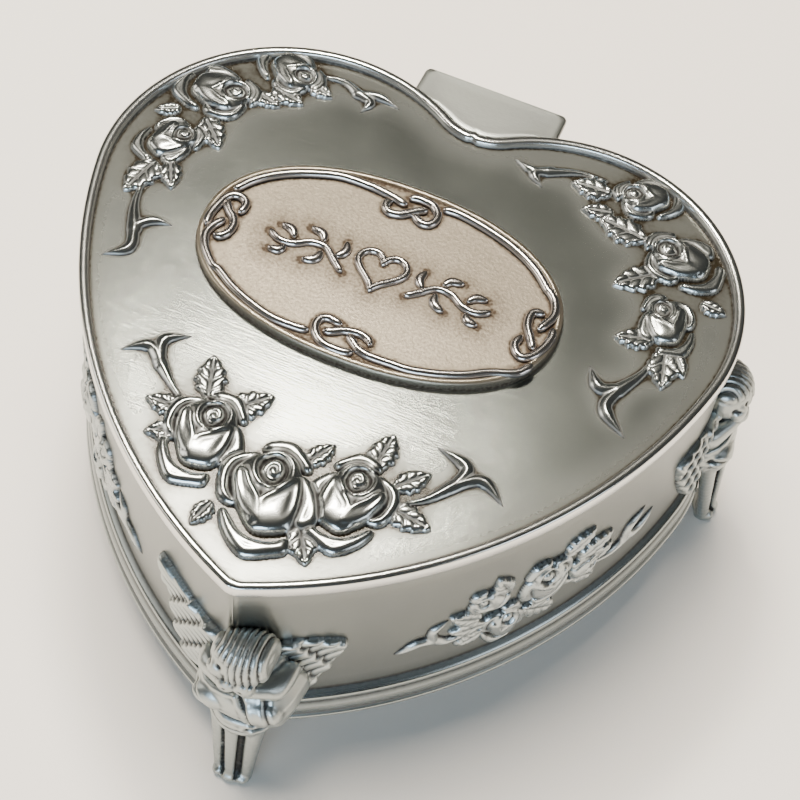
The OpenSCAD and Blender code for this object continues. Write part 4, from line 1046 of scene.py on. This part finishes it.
# the figure's skin with its hair, face, folds and legs worked in, and its patina
def cherubSkin():
    parts = list(cherub["balls"])
    for a, b, ra, rb in cherub["rods"]:
        for t in np.linspace(0, 1, 16):
            r = ra + (rb - ra) * t
            parts.append((tuple(np.array(a) + (np.array(b) - np.array(a)) * t), (r, r, r)))
    p, n, edges, faces = moulded(parts, cherub["voxel"], 3)
    # locks of hair run down from the crown over the back two thirds of the head
    headCentre, headHalf = (np.array(c) for c in cherub["balls"][0])
    hx, hy, hz = (p - headCentre).T
    onHead = np.abs(np.sqrt(np.sum(((p - headCentre) / headHalf) ** 2, 1)) - 1) < 0.16
    part = -1.0 + 0.12 * hz
    parted = smoothstep(part - 0.1, part + 0.35, hx)
    hair = onHead * parted * smoothstep(-3.0, -2.2, hz + 0.25 * np.abs(hx - 1))
    fringe = onHead * (1 - parted) * smoothstep(1.7, 2.3, hz)
    across = hx / (1 - 0.3 * (hz / headHalf[2]) ** 2) + 0.12 * np.sin(hz * 0.9)
    lock = 0.5 + 0.5 * np.cos(2 * math.pi * across)
    push = hair * (0.3 - 0.34 * (1 - lock) ** 2.4) + fringe * (0.3 - 0.3 * (1 - lock) ** 2)
    front = smoothstep(0.5, 1.8, p[:, 1])
    for path, depth in cherub["folds"]:
        d, _ = pathDistance(p[:, 0], p[:, 2], smoothPath(path))
        # a groove with a low ridge beside it
        push = push - depth * np.exp(-(d / 0.32) ** 2) * front
        push = push + 0.3 * depth * np.exp(-((d - 0.75) / 0.35) ** 2) * front
    for x, z, r, depth in cherub["dimples"]:
        away = (p[:, 0] - x) ** 2 + (p[:, 2] - z) ** 2
        push = push - depth * np.exp(-away / r ** 2) * smoothstep(3.0, 4.0, p[:, 1])
    # the gaps between the legs
    for x in (-1.15, 1.15):
        slit = np.exp(-((p[:, 0] - x * (1 + 0.02 * p[:, 2])) / 0.3) ** 2)
        slit = slit * smoothstep(15.5, 13.0, p[:, 2]) * smoothstep(0.6, 1.6, p[:, 2])
        push = push - 0.7 * slit * smoothstep(2.6, 3.4, p[:, 1])
    p = p + n * push[:, None]
    hollow = np.sum((neighbourMean(neighbourMean(p, edges, len(p)), edges, len(p)) - p) * n, 1) / 0.02
    for _ in range(4):
        hollow = 0.4 * hollow + 0.6 * neighbourMean(hollow, edges, len(p))
    stain = np.clip(hollow * 0.9, 0, 1) + 0.9 * (push < -0.25) * np.clip(-push / 0.5, 0, 1)
    p[:, 2] = np.maximum(p[:, 2], 0.0)
    return p, faces, np.clip(stain + 0.08, 0, 1)


# a wing: shingled bands of feathers stepping down from the shoulder to the tip, as heights over the wall
def wingHeight(a, z, lift):
    outline = [(0.5, 30.0), (5.0, 31.6), (10.0, 32.0 + 0.3 * lift), (15.4, 30.6 + lift),
               (15.2, 27.6 + 0.8 * lift), (13.6, 23.6 + 0.4 * lift), (11.6, 19.8), (9.6, 16.8), (5.0, 16.2),
               (0.5, 17.4)]
    edge = insideDistance(a, z, smoothLoop(outline, 4))
    # t runs along the feathers and v across them; each band is 3.6 long and each feather 1.9 wide
    t = (a - 2.0) * 0.8 + (z - 22.0) * 0.6
    v = -(a - 2.0) * 0.6 + (z - 22.0) * 0.8
    cell = np.abs(((v / 1.9 + 0.25) % 1) - 0.5) * 2
    t = t + 0.9 * np.sqrt(np.clip(1 - cell ** 2, 0, 1)) - 0.6
    band = np.clip(np.floor(t / 3.6), 0, 3)
    f = np.clip(t / 3.6 - band, 0, 1)
    h = 0.45 + 0.3 * (3 - band) + 0.5 * f ** 1.4
    h = h - 0.22 * np.exp(-((1 - cell) / 0.24) ** 2) + 0.16 * np.cos(cell * math.pi / 2)
    rail = np.exp(-((edge - 0.7) / 0.7) ** 2) * smoothstep(27.0, 30.0, z)
    h = h + 0.22 * rail
    return np.where(edge > 0, h * (0.5 + 0.5 * pillow(edge, 0.6)), -9.0)


cherubPoints, cherubFaces, cherubStain = cherubSkin()
lobeMid = math.radians(cherub["lobeAngle"])
lobeSpot = np.array([lobeX + (lobeR - midInset) * math.cos(lobeMid),
                     lobeY + (lobeR - midInset) * math.sin(lobeMid)])
lobeS = float(wallS[np.argmin(np.hypot(*(wallP - lobeSpot).T))])


# one figure bent to its place, with wings laid on the wall from (start, way, side, lift)
def standCherub(name, place, wings):
    body = newMesh(name + "_body", place(*cherubPoints.T), cherubFaces, "case",
                   metals["pewter figure"])
    addFloat(body, "patina", cherubStain)
    pieces = [body]
    a, z = np.meshgrid(np.arange(0, 17.0, 0.17), np.arange(15.5, 37.5, 0.17))
    for start, way, side, lift in wings:
        h = wingHeight(a, z, lift)
        h = np.where(h > 0, h, -0.45)
        h = 0.5 * h + 0.5 * blurred(h, 1)
        stain = cavityPatina(h, 2, 5)
        grids = [a, z, h, stain]
        if way * side < 0:
            grids = [g[:, ::-1] for g in grids]
        ga, gz, gh, gs = grids
        pieces.append(reliefMesh(name + "_wing%d" % len(pieces), ga, gz, gh, -0.38, onSide(side, start, way),
                                 gs, "case", metals["pewter figure"]))
    whole = joined(name + "_figure", pieces)
    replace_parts(whole, name)


# the front figure bends round the heart's point, the others follow the lobe
def atTip(x, out, z):
    across = x + cherub["shiftFront"] * smoothstep(-4, 6, z + 4)
    back = 0.5 * (np.sqrt(across ** 2 + 9) - 3)
    return np.c_[across, -46.0 - (out - back * smoothstep(3.4, 0.6, out)), z]


# a lobe's place, on the right for 1 and on the left for -1
def atLobe(side):
    def place(x, out, z):
        r = lobeR - 2.0
        o = r + out - (r - np.sqrt(r * r - x * x))
        nx, ny = math.cos(lobeMid), math.sin(lobeMid)
        return np.c_[side * (lobeX + nx * o - ny * x), lobeY + ny * o + nx * x, z]
    return place


standCherub("cherub_foot_front", atTip, [(0.6, 1, 1, 0.0), (0.6, 1, -1, 4.0)])
standCherub("cherub_foot_right", atLobe(1), [(lobeS, 1, 1, 1.0), (lobeS, -1, 1, 1.0)])
# the left one is a mirror image, so its faces turn round
cherubFaces = [f[::-1] for f in cherubFaces]
standCherub("cherub_foot_left", atLobe(-1), [(lobeS, 1, -1, 1.0), (lobeS, -1, -1, 1.0)])

print("plain parts")
plain = {
    "pewter": metals["pewter plain"], "antique_relief": metals["pewter relief"],
    "plaque_bronze": metals["plaque bright"], "steel": metals["steel"], "tray_board": trayBoard,
    "velvet": velvet, "movement_casting": metals["zinc casting"], "brass": metals["brass"],
}
slotOf = {p["node"]: p["material_slot"] for p in frame["record"]["subparts"]}
for name, node in frame["nodes"].items():
    node.data.materials.clear()
    node.data.materials.append(plain[slotOf[name]])

print("floor, light and camera")


# warm white paper under the box
def floorSheet():
    m, nt, bsdf = nodeMaterial("floor paper")
    tc = addNode(nt, "ShaderNodeTexCoord")
    n = noiseNode(nt, tc.outputs["Object"], 9, 6)
    mix = addNode(nt, "ShaderNodeMix", data_type="RGBA")
    mix.inputs["A"].default_value = (0.76, 0.715, 0.645, 1)
    mix.inputs["B"].default_value = (0.83, 0.785, 0.715, 1)
    nt.links.new(n.outputs["Fac"], mix.inputs["Factor"])
    nt.links.new(mix.outputs["Result"], bsdf.inputs["Base Color"])
    bsdf.inputs["Roughness"].default_value = 0.75
    bump = addNode(nt, "ShaderNodeBump")
    bump.inputs["Strength"].default_value = 0.15
    bump.inputs["Distance"].default_value = 0.0006
    fibres = noiseNode(nt, tc.outputs["Object"], 60)
    nt.links.new(fibres.outputs["Fac"], bump.inputs["Height"])
    nt.links.new(bump.outputs["Normal"], bsdf.inputs["Normal"])
    mesh = bpy.data.meshes.new("floor")
    q = 1.4
    corners = [(-q, -q, -0.0001), (q, -q, -0.0001), (q, q, -0.0001), (-q, q, -0.0001)]
    mesh.from_pydata(corners, [], [(0, 1, 2, 3)])
    obj = bpy.data.objects.new("floor", mesh)
    bpy.context.scene.collection.objects.link(obj)
    mesh.materials.append(m)


floorSheet()


# a soft lamp aimed at the box
def softLamp(name, place, target, size, power, tint):
    light = bpy.data.lights.new(name, "AREA")
    light.shape = "RECTANGLE"
    light.size, light.size_y = size
    light.energy = power
    light.color = tint
    obj = bpy.data.objects.new(name, light)
    bpy.context.scene.collection.objects.link(obj)
    obj.location = place
    aim = Vector(target) - Vector(place)
    obj.rotation_euler = aim.to_track_quat("-Z", "Y").to_euler()
    return obj


# name, place, target, size, power and colour
lamps = [
    ("windowAbove", (-0.086, 0.142, 0.385), (-0.006, -0.02, 0.047), (0.065, 0.042), 1.25, (1.0, 0.95, 0.83)),
    ("skyFront", (0.05, -0.75, 0.26), (0, 0, 0.03), (0.5, 0.22), 4.5, (0.6, 0.8, 1.0)),
    ("fillLeft", (-0.75, -0.15, 0.45), (0, 0, 0.03), (0.4, 0.4), 1.6, (1.0, 0.96, 0.88)),
    ("fillRight", (0.8, -0.2, 0.35), (0, 0, 0.03), (0.35, 0.3), 1.3, (0.8, 0.9, 1.0)),
    ("paperLight", (-0.35, 0.35, 1.6), (0, 0, 0), (1.1, 1.1), 84.0, (1.0, 0.915, 0.815)),
]
for spec in lamps:
    lamp = softLamp(*spec)
    # the overhead one lights the paper only, so the metal doesn't mirror it
    lamp.visible_glossy = spec[0] != "paperLight"

world = bpy.data.worlds.new("room")
bpy.context.scene.world = world
world.use_nodes = True
nt = world.node_tree
bg = nt.nodes["Background"]
bg.inputs["Color"].default_value = (0.77, 0.82, 0.79, 1)
bg.inputs["Strength"].default_value = 0.06

cam = bpy.data.cameras.new("camera")
cam.lens, cam.sensor_width, cam.clip_start = 127.05, 36, 0.01
camObj = bpy.data.objects.new("camera", cam)
bpy.context.scene.collection.objects.link(camObj)
az, roll = math.radians(16.833), math.radians(7.136)
look = Vector((-0.16623, 0.54946, -0.81881)).normalized()
right = Vector((math.cos(az), math.sin(az), 0))
up = right.cross(look)
axisR, axisU = right * math.cos(roll) + up * math.sin(roll), -right * math.sin(roll) + up * math.cos(roll)
m = Matrix((axisR, axisU, -look)).transposed().to_4x4()
m.translation = Vector((75.199, -228.722, 375.208)) * mm
camObj.matrix_world = m
bpy.context.scene.camera = camObj
